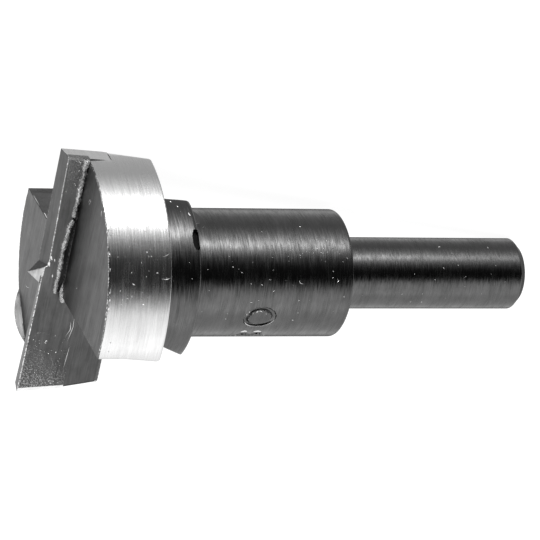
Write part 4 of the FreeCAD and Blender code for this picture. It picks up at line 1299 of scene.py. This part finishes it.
@dataclass(frozen=True)
class Studio:
    """White floor and a tent of soft light with a dark opening beside the camera."""

    viewpoint: Viewpoint
    # direction round the tool's axis in degrees, from the photograph's up towards the camera, and level
    tent: tuple = ((-180, 0.86), (-135, 0.9), (-110, 1.13), (-62, 1.1), (-36, 0.55), (-20, 0.41), (0, 0.33),
                   (20, 0.42), (40, 0.46), (50, 0.4), (60, 0.27), (72, 0.1), (80, 0.025), (103, 0.012),
                   (109, 0.065), (116, 0.32), (123, 0.68), (129, 0.88), (136, 0.93), (146, 0.92), (152, 0.94),
                   (160, 0.94), (166, 0.88), (180, 0.85))
    lamp: tuple = ((-180, 0.0), (0, 0.0), (10, 0.08), (17, 0.2), (24, 0.48), (31, 1.0), (36, 1.9), (42, 1.9),
                   (47, 0.8), (52, 0.4), (58, 0.15), (64, 0.04), (71, 0.0), (134, 0.0), (142, 0.04), (152, 0.13),
                   (160, 0.13), (168, 0.03), (174, 0.0), (180, 0.0))
    # level of the lamp along the axis: none past the first direction, and this much more for each unit back
    lamp_end: float = 0.434
    lamp_growth: float = 42.0
    lamp_most: float = 2.35

    def build(self, tool: ToolFrame) -> None:
        """Make the world, the floor and the lamp."""
        self.build_world(tool)
        self.build_floor()
        self.build_lamp()

    def build_world(self, tool: ToolFrame) -> None:
        """White to the camera, and the tent's levels to everything else."""
        world = bpy.data.worlds.new("studio")
        bpy.context.scene.world = world
        world.use_nodes = True
        world.node_tree.nodes.clear()
        graph = Graph(world.node_tree)
        inwards, up = (self.viewpoint.upright_axes() @ tool.axes)[1:]
        direction = graph.add("TexCoord").outputs["Generated"]

        def along(axis: np.ndarray) -> bpy.types.NodeSocket:
            """How far the direction goes along an axis."""
            node = graph.add("VectorMath", {"operation": "DOT_PRODUCT"}, {0: direction, 1: axis.tolist()})
            return node.outputs["Value"]

        angle = graph.math("ARCTAN2", graph.math("MULTIPLY", along(inwards), -1.0), along(up))
        share = graph.math("ADD", graph.math("DIVIDE", angle, 2 * math.pi), 0.5)
        forward = graph.math("SUBTRACT", self.lamp_end, along(tool.axes[0]))
        reach = graph.span(forward, 0.0, self.lamp_most / self.lamp_growth, 0.0, self.lamp_most)
        lamp = graph.math("MULTIPLY", self.levels(graph, share, self.lamp), reach)
        level = graph.math("ADD", self.levels(graph, share, self.tent), lamp)
        aside = graph.math("ABSOLUTE", graph.math("ADD", angle, math.pi / 2))
        rear = graph.math("MULTIPLY", graph.span(along(tool.axes[0]), 0.08, 0.26),
                          graph.span(aside, math.radians(22), math.radians(40), 1.0, 0.0))
        level = graph.math("MULTIPLY", level, graph.math("SUBTRACT", 1.0, graph.math("MULTIPLY", rear, 0.8)))
        seen = graph.add("LightPath").outputs["Is Camera Ray"]
        colour = graph.add("CombineColor", None, {0: level, 1: level, 2: level}).outputs[0]
        tent = graph.add("Background", None, {"Color": colour, "Strength": 1.0})
        white = graph.add("Background", None, {"Color": (1, 1, 1, 1), "Strength": 1.0})
        mixed = graph.add("MixShader", None, {0: seen, 1: tent.outputs[0], 2: white.outputs[0]})
        output = graph.add("OutputWorld")
        world.node_tree.links.new(mixed.outputs[0], output.inputs[0])

    @staticmethod
    def levels(graph: Graph, share: bpy.types.NodeSocket, table: tuple) -> bpy.types.NodeSocket:
        """Level at a share of the way round, from a table of degrees and levels of up to two."""
        ramp = graph.add("ValToRGB", None, {0: share})
        marks = ramp.color_ramp.elements
        for index, (degrees, level) in enumerate(table):
            position = (degrees + 180) / 360
            mark = marks[index] if index < 2 else marks.new(position)
            mark.position = position
            mark.color = (level / 2, level / 2, level / 2, 1)
        return graph.math("MULTIPLY", ramp.outputs[0], 2.0)

    def build_floor(self) -> None:
        """A wide white floor that shows the bit's soft shadow."""
        mesh = bpy.data.meshes.new("floor")
        half = 3.0
        mesh.from_pydata([(-half, -half, 0), (half, -half, 0), (half, half, 0), (-half, half, 0)], [], [(0, 1, 2, 3)])
        floor = bpy.data.objects.new("floor", mesh)
        bpy.context.scene.collection.objects.link(floor)
        material = bpy.data.materials.new("white_floor")
        material.use_nodes = True
        material.node_tree.nodes.clear()
        graph = Graph(material.node_tree)
        matte = graph.add("BsdfDiffuse", None, {"Color": (0.2, 0.2, 0.2, 1)})
        glow = graph.add("Emission", None, {"Color": (1, 1, 1, 1), "Strength": 0.95})
        both = graph.add("AddShader", None, {0: matte.outputs[0], 1: glow.outputs[0]})
        plain = graph.add("BsdfDiffuse", None, {"Color": (0.8, 0.8, 0.8, 1)})
        seen = graph.add("LightPath").outputs["Is Camera Ray"]
        mixed = graph.add("MixShader", None, {0: seen, 1: plain.outputs[0], 2: both.outputs[0]})
        output = graph.add("OutputMaterial")
        material.node_tree.links.new(mixed.outputs[0], output.inputs[0])
        mesh.materials.append(material)
        floor.visible_glossy = False

    def build_lamp(self) -> None:
        """A large soft lamp overhead."""
        data = bpy.data.lights.new("overhead", "AREA")
        data.shape = "SQUARE"
        data.size = 1.2
        data.energy = 3.0
        lamp = bpy.data.objects.new("overhead", data)
        lamp.location = (0, 0, 0.7)
        lamp.visible_glossy = False
        bpy.context.scene.collection.objects.link(lamp)


def finishes(patterns: Patterns) -> dict[str, bpy.types.Material]:
    """Make each metal finish once."""
    made = [
        MetalFinish("blackened_turned_steel", dark=0.104, light=0.178, gloss=0.05, dull=0.34, fineness=9.5,
                    stretch=3.2, lean=0.36, speck_scale=1.5, speck_threshold=0.97, speck_tone=0.8,
                    edge_reach=0.8, edge_tone=0.65, grain=0.003),
        MetalFinish("ground_rim_steel", dark=0.79, light=0.91, gloss=0.14, dull=0.3, fineness=8.0,
                    stretch=4.0, lean=0.16, speck_scale=1.8, speck_threshold=0.96, speck_tone=0.98,
                    edge_reach=1.0, edge_tone=0.98, grain=0.004),
        MetalFinish("milled_steel", dark=0.08, light=0.14, gloss=0.36, dull=0.46, lay=Lay.ALONG, fineness=5.0,
                    speck_threshold=1.08, speck_tone=0.5, edge_reach=0.95, edge_tone=0.98, grain=0.002),
        MetalFinish("gullet_floor_steel", dark=0.125, light=0.2, gloss=0.38, dull=0.48, lay=Lay.ALONG,
                    fineness=5.0, speck_threshold=0.99, speck_tone=0.6, edge_reach=1.0, grain=0.002),
        MetalFinish("scoring_lip_steel", dark=0.17, light=0.28, gloss=0.35, dull=0.45, fineness=5.0,
                    speck_threshold=1.05, edge_reach=1.0, edge_tone=0.8, grain=0.002),
        # painted shade for the nick's hollow
        MetalFinish("shadowed_hollow", dark=0.008, light=0.02, gloss=0.5, dull=0.6, speck_threshold=2.0,
                    edge_reach=2.0),
        MetalFinish("sintered_flank", dark=0.1, light=0.17, gloss=0.42, dull=0.5, lay=Lay.ALONG,
                    fineness=5.0, speck_threshold=1.08, edge_reach=0.9, edge_tone=0.98, grain=0.002),
        MetalFinish("sintered_broad_face", dark=0.086, light=0.152, gloss=0.42, dull=0.52, lay=Lay.ALONG,
                    fineness=4.0, speck_scale=2.2, speck_threshold=0.97, speck_tone=0.6, edge_reach=0.86,
                    edge_tone=0.98, grain=0.004, rough_zone=0.035, rough_tone=0.5, trailing_painted_light=2.2),
        MetalFinish("ground_point", dark=0.32, light=0.72, gloss=0.3, dull=0.4, lay=Lay.ALONG, fineness=6.0,
                    stretch=1.2, speck_threshold=1.05, edge_reach=1.0, grain=0.008),
        MetalFinish("solid_braze", dark=0.14, light=1.0, gloss=0.14, dull=0.4, lay=Lay.ALONG, fineness=7.0,
                    stretch=0.22, speck_threshold=2.0, edge_reach=2.0, grain=0.13, grain_scale=4.5),
        # flux colour and the bead's painted shadow: near black, with the edge tone giving the fade to the land
        MetalFinish("flux_and_painted_shadow", dark=0.01, light=0.025, gloss=0.4, dull=0.5, speck_threshold=2.0,
                    edge_reach=0.45, edge_tone=0.13, grain=0.003),
    ]
    return {finish.name: finish.build(patterns) for finish in made}


def main() -> None:
    """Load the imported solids, dress them and light them."""
    logging.basicConfig(level=logging.INFO, format="%(name)s: %(message)s")
    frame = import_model()
    sizes = BitSizes()
    tool = ToolFrame.of_packed(frame, sizes.shank_middle)
    metals = finishes(Patterns(tool))
    CutterBody(sizes).build(tool, [metals[name] for name in (
        "blackened_turned_steel", "ground_rim_steel", "milled_steel", "gullet_floor_steel", "scoring_lip_steel",
        "shadowed_hollow")])
    CuttingBlade(sizes).build(tool, [metals[name] for name in (
        "sintered_flank", "ground_rim_steel", "sintered_broad_face", "ground_point")])
    braze = [metals["solid_braze"], metals["flux_and_painted_shadow"]]
    BrazeBead("braze_near", "braze_bead_near", 21, False, sizes).build(tool, braze)
    BrazeBead("braze_far", "braze_bead_far", 47, True, sizes).build(tool, braze)
    viewpoint = Viewpoint()
    viewpoint.build(tool)
    Studio(viewpoint).build(tool)
    bpy.context.scene.view_settings.view_transform = "Standard"


if __name__ == "__main__":
    main()
